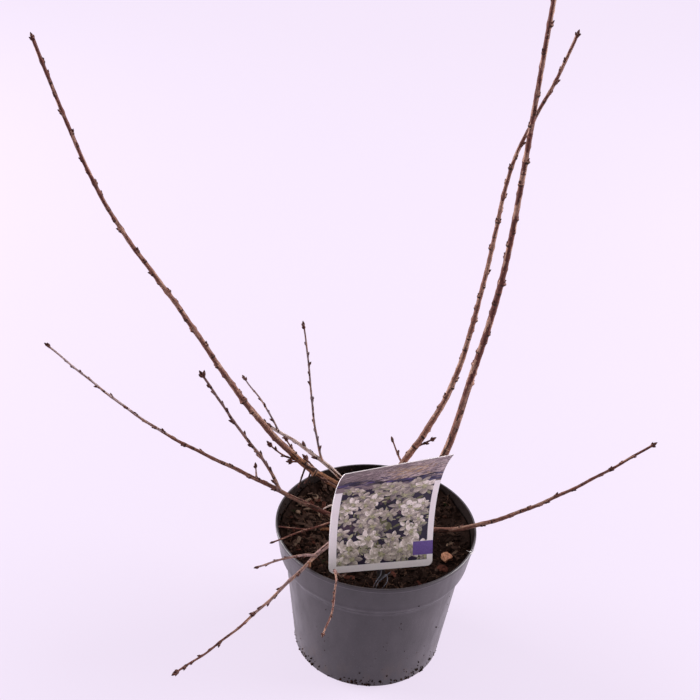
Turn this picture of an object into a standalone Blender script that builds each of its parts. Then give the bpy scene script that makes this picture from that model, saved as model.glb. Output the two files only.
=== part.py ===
"""A young flowering cherry shrub, bare in winter, in its plastic nursery pot.

The origin is the centre of the pot's flat underside. +X is right and +Y is away, as the
photograph looks at the plant, and +Z is up. Lengths are metres and angles are degrees.
"""
import math
import random

import bmesh
import bpy
from mathutils import Matrix, Quaternion, Vector

MM = 0.001
CM = 0.01
GAP = 0.3 * MM                     # kept between neighbouring solids

# The pot: a thin moulded wall, with a collar that stands out above a sloping step.
POT_SIDES = 48
POT_HEIGHT = 12.2 * CM
POT_BASE_RADIUS = 6.15 * CM
POT_BODY_RADIUS = 7.25 * CM        # at the foot of the step
POT_COLLAR_RADIUS = 7.75 * CM      # at the head of the step
POT_RIM_RADIUS = 8.2 * CM
POT_STEP_FOOT = 8.8 * CM
POT_STEP_HEAD = 9.5 * CM
POT_LIP_HEIGHT = 3 * MM
POT_LIP_OVERHANG = 0.7 * MM
POT_EDGE = 0.8 * MM                # the small bevels at the rim and the foot
POT_WALL = 1.2 * MM
POT_FLOOR = 2 * MM
DRAIN_COUNT = 8
DRAIN_RADIUS = 4 * MM
DRAIN_CIRCLE = 4.6 * CM

# The compost: level near the trunk, a little lower and rougher towards the wall.
SOIL_TOP = 10.7 * CM
SOIL_RINGS = 6
SOIL_DIP = 1.6 * MM
SOIL_LEVEL_RADIUS = 2.4 * CM
SOIL_WAVES = ((5, 0.4), (8, 1.9), (11, 4.1))     # waves round the pot and where each starts

# The trunk: a short leaning stump that flares at the soil and carries a stub for each stem.
TRUNK_LEAN = Vector((3 * MM, -2 * MM, 0))        # how far its foot stands from its axis
TRUNK_TOP = 15.4 * CM
TRUNK_FOOT_RADIUS = 9.5 * MM
TRUNK_TOP_RADIUS = 5 * MM
TRUNK_FLARE = 4.5 * MM
TRUNK_FLARE_HEIGHT = 7 * MM
TRUNK_SIDES = 12
STUB_LENGTH = 13.5 * MM                          # measured from the trunk's axis
STUB_COLLAR = 1.35                               # a stub is this much thicker at the axis

# Stems.
STEP = 1 * MM                      # the stride that works out a centreline
TAPER = 1.5                        # stems thin quickly at the foot and slowly at the tip
STEM_SIDES = 6
BOUGH_SIDES = 8
RING_SPACING = 9 * MM
NODE_SWELLING = 1.16
ZIGZAG = 4                         # degrees that a shoot swings from bud to bud
SUNK = 0.6                         # how deep a side twig's foot is sunk, in stem radii

# Buds.
BUD_TURN = 144                     # degrees from each bud to the next, round the stem
BUD_ANGLE = 38                     # degrees between a bud and its stem
BUD_LENGTH = 3.2 * MM
BUD_RADIUS = 1.0 * MM
BUD_SIDES = 4
BUD_SPREAD = 55                    # degrees between the buds of a cluster
CLUSTER_CHANCE = 0.25
RIM_CLEARANCE = 6 * MM             # no bud stands this close to the pot's rim

# Each stem starts on the trunk's axis at a height. Its azimuths (anticlockwise from +X) and
# rises (above level) are spread evenly from foot to tip. The bough ends where twigs begin.
STEMS = {
    "left_tall": dict(height=14.3 * CM, length=46.2 * CM, azimuths=(165, 169, 170),
                      rises=(7, 41, 55, 52, 67, 70), foot=2.6 * MM, tip=1.0 * MM,
                      bough_end=4.6 * CM, internode=19 * MM),
    "left_low": dict(height=11.4 * CM, length=30.8 * CM, azimuths=(169, 176, 172),
                     rises=(8, 23, 24, 36, 39), foot=2.4 * MM, tip=0.8 * MM,
                     bough_end=8.1 * CM, internode=17 * MM),
    "left_pale": dict(height=13.1 * CM, length=12.2 * CM, azimuths=(141, 153, 159),
                      rises=(25, 24, 14), foot=2.0 * MM, tip=1.2 * MM,
                      bough_end=5.9 * CM, internode=16 * MM),
    "right_rear": dict(height=15.0 * CM, length=39.9 * CM, azimuths=(40, 42, 39),
                       rises=(44, 49, 74, 80, 82, 56, 68), foot=2.5 * MM, tip=0.9 * MM,
                       bough_end=3.0 * CM, internode=19 * MM),
    "right_tall": dict(height=12.8 * CM, length=57.0 * CM, azimuths=(3, 5, 4),
                       rises=(34, 77, 80, 87, 88, 87, 84), foot=3.0 * MM, tip=1.0 * MM,
                       bough_end=14.0 * CM, internode=20 * MM),
    "right_low": dict(height=12.8 * CM, length=24.0 * CM, azimuths=(-6, 8, 9),
                      rises=(-18, 17, 30, 38), foot=2.3 * MM, tip=0.8 * MM,
                      bough_end=6.0 * CM, internode=17 * MM),
    "front_left": dict(height=13.3 * CM, length=21.9 * CM, azimuths=(229, 230, 228),
                       rises=(8, -15, -12, 1), foot=2.5 * MM, tip=0.8 * MM,
                       bough_end=6.7 * CM, internode=17 * MM),
    "left_thin": dict(height=12.4 * CM, length=9.2 * CM, azimuths=(205, 205),
                      rises=(25, -4, -10), foot=1.0 * MM, tip=0.65 * MM,
                      bough_end=0, internode=17 * MM),
    "front_thin": dict(height=11.9 * CM, length=19.4 * CM, azimuths=(247, 250, 273, 255),
                       rises=(-7, -13, 46, 36, -6, -3), foot=1.0 * MM, tip=0.65 * MM,
                       bough_end=0, internode=17 * MM),
}

# Each side twig starts on its stem at a distance from the stem's own foot.
SIDE_TWIGS = {
    "left_tall": (
        dict(start=5.2 * CM, length=1.9 * CM, azimuths=(149,), rises=(35,), internode=8 * MM),
        dict(start=6.1 * CM, length=1.2 * CM, azimuths=(230,), rises=(-90, -36)),
        dict(start=6.6 * CM, length=2.0 * CM, azimuths=(200,), rises=(-75,)),
        dict(start=7.2 * CM, length=3.1 * CM, azimuths=(185,), rises=(13, 52), internode=8 * MM),
        dict(start=7.5 * CM, length=1.8 * CM, azimuths=(140,), rises=(42,)),
    ),
    "left_low": (
        dict(start=8.7 * CM, length=11.7 * CM, azimuths=(163,), rises=(68, 48, 53, 53),
             foot=1.4 * MM, tip=1.0 * MM, internode=12 * MM),
        dict(start=10.8 * CM, length=1.2 * CM, azimuths=(120,), rises=(79,)),
    ),
    "left_pale": (
        dict(start=6.3 * CM, length=11.6 * CM, azimuths=(123,), rises=(54, 72, 75, 67),
             foot=1.0 * MM, tip=0.7 * MM),
        dict(start=10.7 * CM, length=5.9 * CM, azimuths=(129,), rises=(45, 20, 16)),
    ),
    "right_rear": (
        dict(start=3.2 * CM, length=2.2 * CM, azimuths=(119,), rises=(12, 45)),
        dict(start=4.7 * CM, length=1.7 * CM, azimuths=(19,), rises=(25,)),
    ),
    "front_left": (
        dict(start=7.3 * CM, length=5.1 * CM, azimuths=(210,), rises=(27, 2, 0),
             foot=1.2 * MM, tip=0.7 * MM),
    ),
    "left_thin": (
        dict(start=6.3 * CM, length=2.1 * CM, azimuths=(175,), rises=(1,),
             foot=0.7 * MM, tip=0.55 * MM),
    ),
}
TWIG_FOOT = 0.85 * MM              # a side twig's radii, where it states none
TWIG_TIP = 0.65 * MM
TWIG_INTERNODE = 15 * MM

# The plant label: a card on a spike, leaning back at its foot and curling forward.
LABEL_WIDTH = 8.3 * CM
LABEL_LENGTH = 12.9 * CM
LABEL_THICKNESS = 0.5 * MM
LABEL_FOOT = Vector((0.5 * CM, -5.0 * CM, 11.55 * CM))    # middle of the lower edge
LABEL_YAW = 11.2
LABEL_LEAN = -16.9
LABEL_ROLL = -9.3
LABEL_SKEW = -8.0                  # between the card's length and the way it curls
LABEL_CURL_RADIUS = 12.4 * CM
LABEL_CORNER = 4.5 * MM
LABEL_ROWS = 16
LABEL_MIDDLE_COLUMNS = 5
CORNER_STEPS = 3
SPIKE_LENGTH = 4.2 * CM
SPIKE_OVERLAP = 4 * MM
SPIKE_TOP_HALF = 3.4 * MM
SPIKE_TIP_HALF = 1.6 * MM
SPIKE_THICKNESS = 1.0 * MM


# ---------------------------------------------------------------- small tools

def clear_scene():
    for thing in list(bpy.data.objects):
        bpy.data.objects.remove(thing)


def material(name, colour, roughness):
    """A plain Principled material."""
    made = bpy.data.materials.new(name)
    made.use_nodes = True
    shader = made.node_tree.nodes["Principled BSDF"]
    shader.inputs["Base Color"].default_value = (*colour, 1)
    shader.inputs["Roughness"].default_value = roughness
    shader.inputs["Metallic"].default_value = 0
    made.diffuse_color = (*colour, 1)
    return made


def finish_mesh(name, shape, finish):
    """Turns a bmesh into an object whose faces look outward."""
    bmesh.ops.recalc_face_normals(shape, faces=shape.faces)
    mesh = bpy.data.meshes.new(name)
    shape.to_mesh(mesh)
    shape.free()
    made = bpy.data.objects.new(name, mesh)
    made.data.materials.append(finish)
    bpy.context.scene.collection.objects.link(made)
    return made


def skin_rings(shape, rings):
    """Joins rings of vertices, each to the next, with quads."""
    for lower, upper in zip(rings, rings[1:]):
        count = len(lower)
        for i in range(count):
            j = (i + 1) % count
            shape.faces.new((lower[i], lower[j], upper[j], upper[i]))


def spread(values, along):
    """Reads evenly spread values at a share of the way along them, on a smooth curve."""
    if len(values) == 1:
        return values[0]
    place = along * (len(values) - 1)
    i = min(int(place), len(values) - 2)
    share = place - i
    before = values[max(i - 1, 0)]
    here = values[i]
    there = values[i + 1]
    after = values[min(i + 2, len(values) - 1)]
    return 0.5 * (2 * here + (there - before) * share
                  + (2 * before - 5 * here + 4 * there - after) * share ** 2
                  + (3 * here - before - 3 * there + after) * share ** 3)


def boolean(target, operation, others, solver):
    """Joins or cuts the target with all the others, applies it and removes them."""
    group = bpy.data.collections.new("operands")
    bpy.context.scene.collection.children.link(group)
    for other in others:
        bpy.context.scene.collection.objects.unlink(other)
        group.objects.link(other)
    modifier = target.modifiers.new("boolean", "BOOLEAN")
    modifier.operation = operation
    modifier.operand_type = "COLLECTION"
    modifier.collection = group
    modifier.solver = solver
    graph = bpy.context.evaluated_depsgraph_get()
    joined = bpy.data.meshes.new_from_object(target.evaluated_get(graph))
    target.modifiers.clear()
    target.data = joined
    for other in others:
        bpy.data.objects.remove(other)
    bpy.data.collections.remove(group)
    return target


# ---------------------------------------------------------------- stems

class Stem:
    """A tapering stem whose centreline turns smoothly through its azimuths and rises."""

    def __init__(self, start, length, azimuths, rises, foot, tip, internode, seed):
        self.length = length
        self.foot = foot
        self.tip = tip
        self.dice = random.Random(seed)
        self.internode = internode
        phase = self.dice.uniform(0, 2 * math.pi)
        strides = max(round(length / STEP), 8)
        self.points = [Vector(start)]
        self.headings = []
        for i in range(strides):
            along = (i + 0.5) / strides
            swing = ZIGZAG * math.sin(math.pi * along * length / internode + phase)
            azimuth = math.radians(spread(azimuths, along) + swing)
            rise = math.radians(spread(rises, along))
            heading = Vector((math.cos(rise) * math.cos(azimuth),
                              math.cos(rise) * math.sin(azimuth), math.sin(rise)))
            self.headings.append(heading)
            self.points.append(self.points[-1] + heading * length / strides)

    def at(self, distance):
        place = min(max(distance / self.length, 0), 1) * len(self.headings)
        i = min(int(place), len(self.headings) - 1)
        return self.points[i].lerp(self.points[i + 1], place - i)

    def heading(self, distance):
        place = min(max(distance / self.length, 0), 1) * len(self.headings)
        return self.headings[min(int(place), len(self.headings) - 1)]

    def radius(self, distance):
        left = 1 - min(max(distance / self.length, 0), 1)
        return self.tip + (self.foot - self.tip) * left ** TAPER

    def nodes(self, first):
        """Distances of the buds, from the first one up to just short of the tip."""
        found = []
        distance = first
        while distance < self.length - 0.4 * self.internode:
            found.append(distance)
            distance += self.internode * self.dice.uniform(0.8, 1.2)
        return found


def tube(name, stem, stations, sides, finish):
    """A closed tube along a stem; each station is a distance and a radius."""
    shape = bmesh.new()
    across = stem.heading(stations[0][0]).orthogonal().normalized()
    before = stem.heading(stations[0][0])
    rings = []
    for distance, radius in stations:
        heading = stem.heading(distance)
        across = before.rotation_difference(heading) @ across
        before = heading
        centre = stem.at(distance)
        rings.append([shape.verts.new(centre + Quaternion(heading, 2 * math.pi * k / sides) @ across * radius)
                      for k in range(sides)])
    skin_rings(shape, rings)
    shape.faces.new(reversed(rings[0]))
    shape.faces.new(rings[-1])
    return finish_mesh(name, shape, finish)


def stretch(stem, start, end, nodes=()):
    """Stations along part of a stem: evenly spaced, and swollen at its buds."""
    count = max(round((end - start) / RING_SPACING), 2)
    stations = [start + (end - start) * i / count for i in range(count + 1)]
    kept = [s for s in stations
            if s in (start, end) or all(abs(s - n) > 0.4 * RING_SPACING for n in nodes)]
    plain = [(s, stem.radius(s)) for s in kept]
    swollen = [(n, stem.radius(n) * NODE_SWELLING) for n in nodes]
    return sorted(plain + swollen)


def near_rim(point):
    reach = math.hypot(point.x, point.y)
    beside = abs(reach - POT_RIM_RADIUS) < RIM_CLEARANCE
    return beside and point.z < POT_HEIGHT + RIM_CLEARANCE


def bud(point, heading, size, finish):
    """A pointed bud whose foot is sunk in the stem."""
    shape = bmesh.new()
    across = heading.orthogonal().normalized()
    rings = []
    for along, width in ((-0.25, 0.6), (0.4, 1.0)):
        centre = point + heading * BUD_LENGTH * size * along
        rings.append([shape.verts.new(centre + Quaternion(heading, 2 * math.pi * k / BUD_SIDES)
                                      @ across * BUD_RADIUS * size * width)
                      for k in range(BUD_SIDES)])
    skin_rings(shape, rings)
    top = shape.verts.new(point + heading * BUD_LENGTH * size)
    for k in range(BUD_SIDES):
        shape.faces.new((rings[1][k], rings[1][(k + 1) % BUD_SIDES], top))
    shape.faces.new(reversed(rings[0]))
    return finish_mesh("bud", shape, finish)


def stem_buds(stem, nodes, finish):
    """Buds that turn round the stem, some in clusters, and a cluster at the tip."""
    made = []
    turn = stem.dice.uniform(0, 360)
    for distance in nodes:
        turn += BUD_TURN
        heading = stem.heading(distance)
        cluster = stem.dice.random() < CLUSTER_CHANCE
        for offset in ((-BUD_SPREAD, 0, BUD_SPREAD) if cluster else (0,)):
            size = stem.dice.uniform(0.8, 1.1)
            side = Quaternion(heading, math.radians(turn + offset)) @ heading.orthogonal().normalized()
            lean = math.radians(BUD_ANGLE)
            way = heading * math.cos(lean) + side * math.sin(lean)
            foot = stem.at(distance) + side * stem.radius(distance) * SUNK
            if not near_rim(foot):
                made.append(bud(foot, way, size, finish))
    tip = stem.at(stem.length)
    heading = stem.heading(stem.length)
    made.append(bud(tip, heading, 1.15, finish))
    for offset in (0, 150):
        side = Quaternion(heading, math.radians(turn + offset)) @ heading.orthogonal().normalized()
        way = (heading + side * 0.8).normalized()
        foot = tip - heading * 1.2 * MM + side * stem.tip * SUNK
        made.append(bud(foot, way, 0.85, finish))
    return made


def trunk_axis(height):
    """The axis leans from its foot to where the stems leave it, and is upright above."""
    share = max(0, 1 - (height - SOIL_TOP) / (12 * MM))
    return Vector((0, 0, height)) + TRUNK_LEAN * share


def main_stem(name):
    size = STEMS[name]
    return Stem(trunk_axis(size["height"]), size["length"], size["azimuths"], size["rises"],
                size["foot"], size["tip"], size["internode"], seed=name)


def build_mass(name, stem, finish):
    """The leafless twigs that grow on from a bough's tip or the trunk, fused into one."""
    size = STEMS[name]
    start = max(size["bough_end"], STUB_LENGTH) + GAP
    nodes = stem.nodes(start + 0.6 * size["internode"])
    pieces = [tube("twigs_" + name, stem, stretch(stem, start, stem.length, nodes), STEM_SIDES, finish)]
    pieces += stem_buds(stem, nodes, finish)
    for index, twig in enumerate(SIDE_TWIGS.get(name, ())):
        side = Stem(stem.at(twig["start"]), twig["length"], twig["azimuths"], twig["rises"],
                    twig.get("foot", TWIG_FOOT), twig.get("tip", TWIG_TIP),
                    twig.get("internode", TWIG_INTERNODE), seed=name + str(index))
        side_nodes = side.nodes(0.7 * side.internode)
        pieces.append(tube("side", side, stretch(side, 0, side.length, side_nodes), STEM_SIDES, finish))
        pieces += stem_buds(side, side_nodes, finish)
    return boolean(pieces[0], "UNION", pieces[1:], "MANIFOLD")


def build_bough(name, stem, finish):
    end = STEMS[name]["bough_end"]
    if end == 0:
        return None
    return tube("bough_" + name, stem, stretch(stem, STUB_LENGTH + GAP, end), BOUGH_SIDES, finish)


# ---------------------------------------------------------------- trunk, pot and compost

def build_trunk(stems, finish):
    """The stump from its flat cut at the soil, with a stub fused on for each stem."""
    shape = bmesh.new()
    levels = 8
    foot = SOIL_TOP + GAP
    rings = []
    for i in range(levels + 1):
        share = i / levels
        height = foot + (TRUNK_TOP - foot) * share
        radius = TRUNK_FOOT_RADIUS + (TRUNK_TOP_RADIUS - TRUNK_FOOT_RADIUS) * share
        radius += TRUNK_FLARE * math.exp(-(height - foot) / TRUNK_FLARE_HEIGHT)
        ring = []
        for k in range(TRUNK_SIDES):
            angle = 2 * math.pi * k / TRUNK_SIDES
            lobed = radius * (1 + 0.10 * math.sin(4 * angle + 0.7) * (1 - share))
            ring.append(shape.verts.new(trunk_axis(height)
                                        + Vector((math.cos(angle), math.sin(angle), 0)) * lobed))
        rings.append(ring)
    skin_rings(shape, rings)
    shape.faces.new(reversed(rings[0]))
    shape.faces.new(rings[-1])
    stump = finish_mesh("trunk", shape, finish)
    stubs = []
    for stem in stems.values():
        stations = []
        for i in range(4):
            distance = STUB_LENGTH * i / 3
            stations.append((distance, stem.radius(distance) * (STUB_COLLAR + (1 - STUB_COLLAR) * i / 3)))
        stubs.append(tube("stub", stem, stations, BOUGH_SIDES, finish))
    return boolean(stump, "UNION", stubs, "MANIFOLD")


def pot_wall_inside(height):
    """The inner radius of the pot at a height."""
    if height < POT_STEP_FOOT:
        share = height / POT_STEP_FOOT
        outside = POT_BASE_RADIUS + (POT_BODY_RADIUS - POT_BASE_RADIUS) * share
    elif height < POT_STEP_HEAD:
        share = (height - POT_STEP_FOOT) / (POT_STEP_HEAD - POT_STEP_FOOT)
        outside = POT_BODY_RADIUS + (POT_COLLAR_RADIUS - POT_BODY_RADIUS) * share
    else:
        share = (height - POT_STEP_HEAD) / (POT_HEIGHT - POT_STEP_HEAD)
        rim = POT_RIM_RADIUS - POT_LIP_OVERHANG
        outside = POT_COLLAR_RADIUS + (rim - POT_COLLAR_RADIUS) * share
    return outside - POT_WALL


def revolve(name, profile, finish):
    """Turns a profile of (radius, height) about Z; its ends are on the axis."""
    shape = bmesh.new()
    rings = []
    for radius, height in profile[1:-1]:
        rings.append([shape.verts.new((radius * math.cos(2 * math.pi * k / POT_SIDES),
                                       radius * math.sin(2 * math.pi * k / POT_SIDES), height))
                      for k in range(POT_SIDES)])
    skin_rings(shape, rings)
    for (radius, height), ring in ((profile[0], rings[0]), (profile[-1], rings[-1])):
        centre = shape.verts.new((radius, 0, height))
        for k in range(POT_SIDES):
            shape.faces.new((ring[k], ring[(k + 1) % POT_SIDES], centre))
    return finish_mesh(name, shape, finish)


def build_pot(finish):
    lip_radius = POT_RIM_RADIUS - POT_LIP_OVERHANG
    outside = [(0, 0), (POT_BASE_RADIUS - POT_EDGE, 0), (POT_BASE_RADIUS, POT_EDGE),
               (POT_BODY_RADIUS, POT_STEP_FOOT), (POT_COLLAR_RADIUS, POT_STEP_HEAD),
               (lip_radius - 0.5 * POT_EDGE, POT_HEIGHT - POT_LIP_HEIGHT - POT_EDGE),
               (POT_RIM_RADIUS, POT_HEIGHT - POT_LIP_HEIGHT),
               (POT_RIM_RADIUS, POT_HEIGHT - POT_EDGE),
               (POT_RIM_RADIUS - POT_EDGE, POT_HEIGHT)]
    inside = [(pot_wall_inside(POT_HEIGHT) + 0.3 * POT_EDGE, POT_HEIGHT)]
    inside += [(pot_wall_inside(height), height)
               for height in (POT_HEIGHT - POT_EDGE, POT_STEP_HEAD, POT_STEP_FOOT, POT_FLOOR)]
    inside.append((0, POT_FLOOR))
    pot = revolve("pot", outside + inside, finish)
    drains = []
    for i in range(DRAIN_COUNT):
        angle = 2 * math.pi * (i + 0.5) / DRAIN_COUNT
        shape = bmesh.new()
        bmesh.ops.create_cone(shape, cap_ends=True, segments=12, radius1=DRAIN_RADIUS,
                              radius2=DRAIN_RADIUS, depth=4 * POT_FLOOR)
        shape.transform(Matrix.Translation((DRAIN_CIRCLE * math.cos(angle),
                                            DRAIN_CIRCLE * math.sin(angle), 0)))
        drains.append(finish_mesh("drain", shape, finish))
    return boolean(pot, "DIFFERENCE", drains, "EXACT")


def soil_height(x, y):
    reach = math.hypot(x, y)
    rough = max(0, reach - SOIL_LEVEL_RADIUS) / (pot_wall_inside(SOIL_TOP) - SOIL_LEVEL_RADIUS)
    angle = math.atan2(y, x)
    wave = sum(math.sin(count * angle + start + 40 * reach) for count, start in SOIL_WAVES) / len(SOIL_WAVES)
    return SOIL_TOP - SOIL_DIP * rough * (0.6 + 0.4 * wave)


def build_soil(finish):
    """The compost fills the pot up to its uneven top, with a slot for the label's spike."""
    shape = bmesh.new()
    directions = [(math.cos(2 * math.pi * k / POT_SIDES), math.sin(2 * math.pi * k / POT_SIDES))
                  for k in range(POT_SIDES)]
    rings = []
    for height in (POT_FLOOR + GAP, POT_STEP_FOOT, POT_STEP_HEAD):
        radius = pot_wall_inside(height) - GAP
        rings.append([shape.verts.new((radius * c, radius * s, height)) for c, s in directions])
    edge = pot_wall_inside(SOIL_TOP - SOIL_DIP) - GAP
    for i in range(SOIL_RINGS):
        radius = edge + (SOIL_LEVEL_RADIUS - edge) * i / (SOIL_RINGS - 1)
        rings.append([shape.verts.new((radius * c, radius * s, soil_height(radius * c, radius * s)))
                      for c, s in directions])
    skin_rings(shape, rings)
    shape.faces.new(reversed(rings[0]))
    shape.faces.new(rings[-1])
    soil = finish_mesh("soil", shape, finish)
    return boolean(soil, "DIFFERENCE", [spike("slot", GAP, finish)], "EXACT")


# ---------------------------------------------------------------- plant label

def on_label(across, up, out):
    """A point of the curled card: across and up it from its foot's middle, and out of its face."""
    turn = (Matrix.Rotation(math.radians(LABEL_YAW), 3, "Z")
            @ Matrix.Rotation(math.radians(LABEL_LEAN), 3, "X")
            @ Matrix.Rotation(math.radians(LABEL_ROLL), 3, "Y"))
    skew = math.radians(LABEL_SKEW)
    level = across * math.cos(skew) - up * math.sin(skew)
    along = across * math.sin(skew) + up * math.cos(skew)
    bend = max(along, 0) / LABEL_CURL_RADIUS
    if along > 0:
        rise = LABEL_CURL_RADIUS * math.sin(bend)
        forward = LABEL_CURL_RADIUS * (1 - math.cos(bend))
    else:
        rise = along
        forward = 0
    rise -= out * math.sin(bend)
    forward += out * math.cos(bend)
    return LABEL_FOOT + turn @ Vector((level, -forward, rise))


def sheet(name, columns, finish):
    """A closed sheet; each column lists its points as (across, up, half thickness)."""
    shape = bmesh.new()
    front = [[shape.verts.new(on_label(a, u, t)) for a, u, t in column] for column in columns]
    back = [[shape.verts.new(on_label(a, u, -t)) for a, u, t in column] for column in columns]
    for face in (front, back):
        for left, right in zip(face, face[1:]):
            for i in range(len(left) - 1):
                shape.faces.new((left[i], left[i + 1], right[i + 1], right[i]))
    front_edge = front[0] + [c[-1] for c in front[1:]] + front[-1][-2::-1] + [c[0] for c in front[-2:0:-1]]
    back_edge = back[0] + [c[-1] for c in back[1:]] + back[-1][-2::-1] + [c[0] for c in back[-2:0:-1]]
    skin_rings(shape, [front_edge, back_edge])
    return finish_mesh(name, shape, finish)


def spike(name, margin, finish):
    """The label's spike, or with a margin the slot that it stands in."""
    half = 0.5 * SPIKE_THICKNESS + margin
    columns = []
    for side in (-1, 0, 1):
        columns.append([(side * (SPIKE_TOP_HALF + margin), SPIKE_OVERLAP, half),
                        (side * (SPIKE_TOP_HALF + margin), 0, half),
                        (side * (SPIKE_TIP_HALF + margin), -SPIKE_LENGTH - margin, half)])
    return sheet(name, columns, finish)


def build_label(finish):
    half_width = 0.5 * LABEL_WIDTH
    corner = [LABEL_CORNER * (1 - math.cos(0.5 * math.pi * i / CORNER_STEPS))
              for i in range(CORNER_STEPS + 1)]
    inner = half_width - LABEL_CORNER
    middle = [inner * (2 * i / (LABEL_MIDDLE_COLUMNS + 1) - 1) for i in range(1, LABEL_MIDDLE_COLUMNS + 1)]
    places = [c - half_width for c in corner] + middle + [half_width - c for c in reversed(corner)]
    columns = []
    for across in places:
        inset = max(0, LABEL_CORNER - (half_width - abs(across)))
        low = LABEL_CORNER - math.sqrt(LABEL_CORNER ** 2 - inset ** 2)
        columns.append([(across, low + (LABEL_LENGTH - low) * i / LABEL_ROWS, 0.5 * LABEL_THICKNESS)
                        for i in range(LABEL_ROWS + 1)])
    card = sheet("label", columns, finish)
    return boolean(card, "UNION", [spike("spike", 0, finish)], "EXACT")


# ---------------------------------------------------------------- the whole plant

def main():
    clear_scene()
    plastic = material("pot_plastic", (0.085, 0.075, 0.085), 0.55)
    compost = material("compost", (0.035, 0.022, 0.018), 0.95)
    bark = material("bark", (0.19, 0.085, 0.06), 0.7)
    shoots = material("shoots", (0.23, 0.10, 0.07), 0.7)
    card = material("label_card", (0.62, 0.6, 0.64), 0.35)
    stems = {name: main_stem(name) for name in STEMS}
    pieces = [build_pot(plastic), build_soil(compost), build_label(card), build_trunk(stems, bark)]
    for name, stem in stems.items():
        bough = build_bough(name, stem, bark)
        if bough:
            pieces.append(bough)
        pieces.append(build_mass(name, stem, shoots))
    for piece in pieces:
        piece.data.shade_smooth()
        piece.data.set_sharp_from_angle(angle=math.radians(40))


main()
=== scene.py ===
"""The looks of a young potted cherry, bare in winter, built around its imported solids.

The frame is the solids' own: metres, with the origin at the centre of the pot's underside,
+X to the right, +Y away from the camera and +Z up. Angles are degrees.
"""
import random
from math import atan2, ceil, cos, dist, exp, hypot, pi, radians, sin, sqrt, tau

import bmesh
import bpy
from mathutils import Matrix, Quaternion, Vector, noise


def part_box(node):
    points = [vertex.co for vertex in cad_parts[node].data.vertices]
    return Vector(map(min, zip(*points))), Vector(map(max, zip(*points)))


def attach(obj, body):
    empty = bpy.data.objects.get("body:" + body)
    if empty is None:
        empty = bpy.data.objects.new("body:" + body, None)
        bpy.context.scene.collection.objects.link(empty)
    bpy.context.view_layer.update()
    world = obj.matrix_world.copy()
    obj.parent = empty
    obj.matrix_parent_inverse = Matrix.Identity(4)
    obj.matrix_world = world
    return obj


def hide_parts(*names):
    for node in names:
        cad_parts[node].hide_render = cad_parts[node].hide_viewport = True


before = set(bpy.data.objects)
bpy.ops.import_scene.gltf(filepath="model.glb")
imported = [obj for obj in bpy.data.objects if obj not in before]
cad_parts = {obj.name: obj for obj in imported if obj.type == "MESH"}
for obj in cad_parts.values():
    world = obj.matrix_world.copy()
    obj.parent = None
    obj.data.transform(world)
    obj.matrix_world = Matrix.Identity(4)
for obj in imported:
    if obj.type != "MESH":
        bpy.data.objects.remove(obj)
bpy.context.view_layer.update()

MM = 0.001
CM = 0.01
UP = Vector((0, 0, 1))

# The camera stands where the photographer's stood.
CAMERA_PLACE = Vector((-0.031, -0.829, 0.774))
CAMERA_PITCH = 30.6                # below level
CAMERA_ROLL = 3.94
SENSOR = 36                        # millimetres
FRAME_PIXELS = 700
FOCAL_PIXELS = 1280

# The pot, as the solids have it.
POT_SIDES = 192
POT_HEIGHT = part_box("pot")[1].z
POT_RIM_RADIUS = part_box("pot")[1].x
POT_BASE_RADIUS = 6.15 * CM
POT_BODY_RADIUS = 7.25 * CM        # at the foot of the step
POT_COLLAR_RADIUS = 7.75 * CM      # at the head of the step
POT_STEP_FOOT = 8.8 * CM
POT_STEP_HEAD = 9.5 * CM
POT_LIP_HEIGHT = 3 * MM
POT_LIP_OVERHANG = 0.7 * MM
POT_WALL = 1.2 * MM
POT_FLOOR = 2 * MM
POT_FOOT_RING = 4 * MM             # the width of the ring it stands on
POT_RECESS = 0.8 * MM              # how far the underside is hollowed within that ring
POT_CENTRE = 0.4 * MM              # the small disc that closes its middle
DRAIN_COUNT = 8
DRAIN_SIDES = 32
DRAIN_RADIUS = 4 * MM
DRAIN_CIRCLE = 4.6 * CM

# The compost.
SOIL_TOP = 10.7 * CM
SOIL_DIP = 1.6 * MM
SOIL_LEVEL_RADIUS = 2.4 * CM
SOIL_WAVES = ((5, 0.4), (8, 1.9), (11, 4.1))     # waves round the pot and where each starts
SOIL_BANK = 12 * MM                # how far it climbs the wall at the back
SOIL_BANK_FOOT = 4.6 * CM          # the radius where the bank starts
SOIL_SPOKES = 260
SOIL_RINGS = 84

# The trunk.
TRUNK_LEAN = Vector((3 * MM, -2 * MM, 0))
TRUNK_LEAN_HEIGHT = 12 * MM        # above this it is upright
TRUNK_TOP = 15.4 * CM
TRUNK_SUNK = 1.5 * MM
TRUNK_FOOT_RADIUS = 9.5 * MM
TRUNK_TOP_RADIUS = 5 * MM
TRUNK_FLARE = 4.5 * MM
TRUNK_FLARE_HEIGHT = 7 * MM
TRUNK_SIDES = 40
TRUNK_LEVELS = 44
TRUNK_VOXEL = 0.5 * MM
STUB_LENGTH = 13.5 * MM
STUB_RINGS = 12
STUB_SIDES = 20

# The stems: the source's rule, with its sizes.
STEP = 1 * MM
TAPER = 1.5
ZIGZAG = 4
NODE_SWELLING = 0.16
SUNK = 0.6
BUD_TURN = 144
BUD_ANGLE = 38
BUD_LENGTH = 3.2 * MM
BUD_RADIUS = 1.0 * MM
BUD_SPREAD = 55
CLUSTER_CHANCE = 0.25
RIM_CLEARANCE = 6 * MM
GAP = 0.3 * MM

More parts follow.
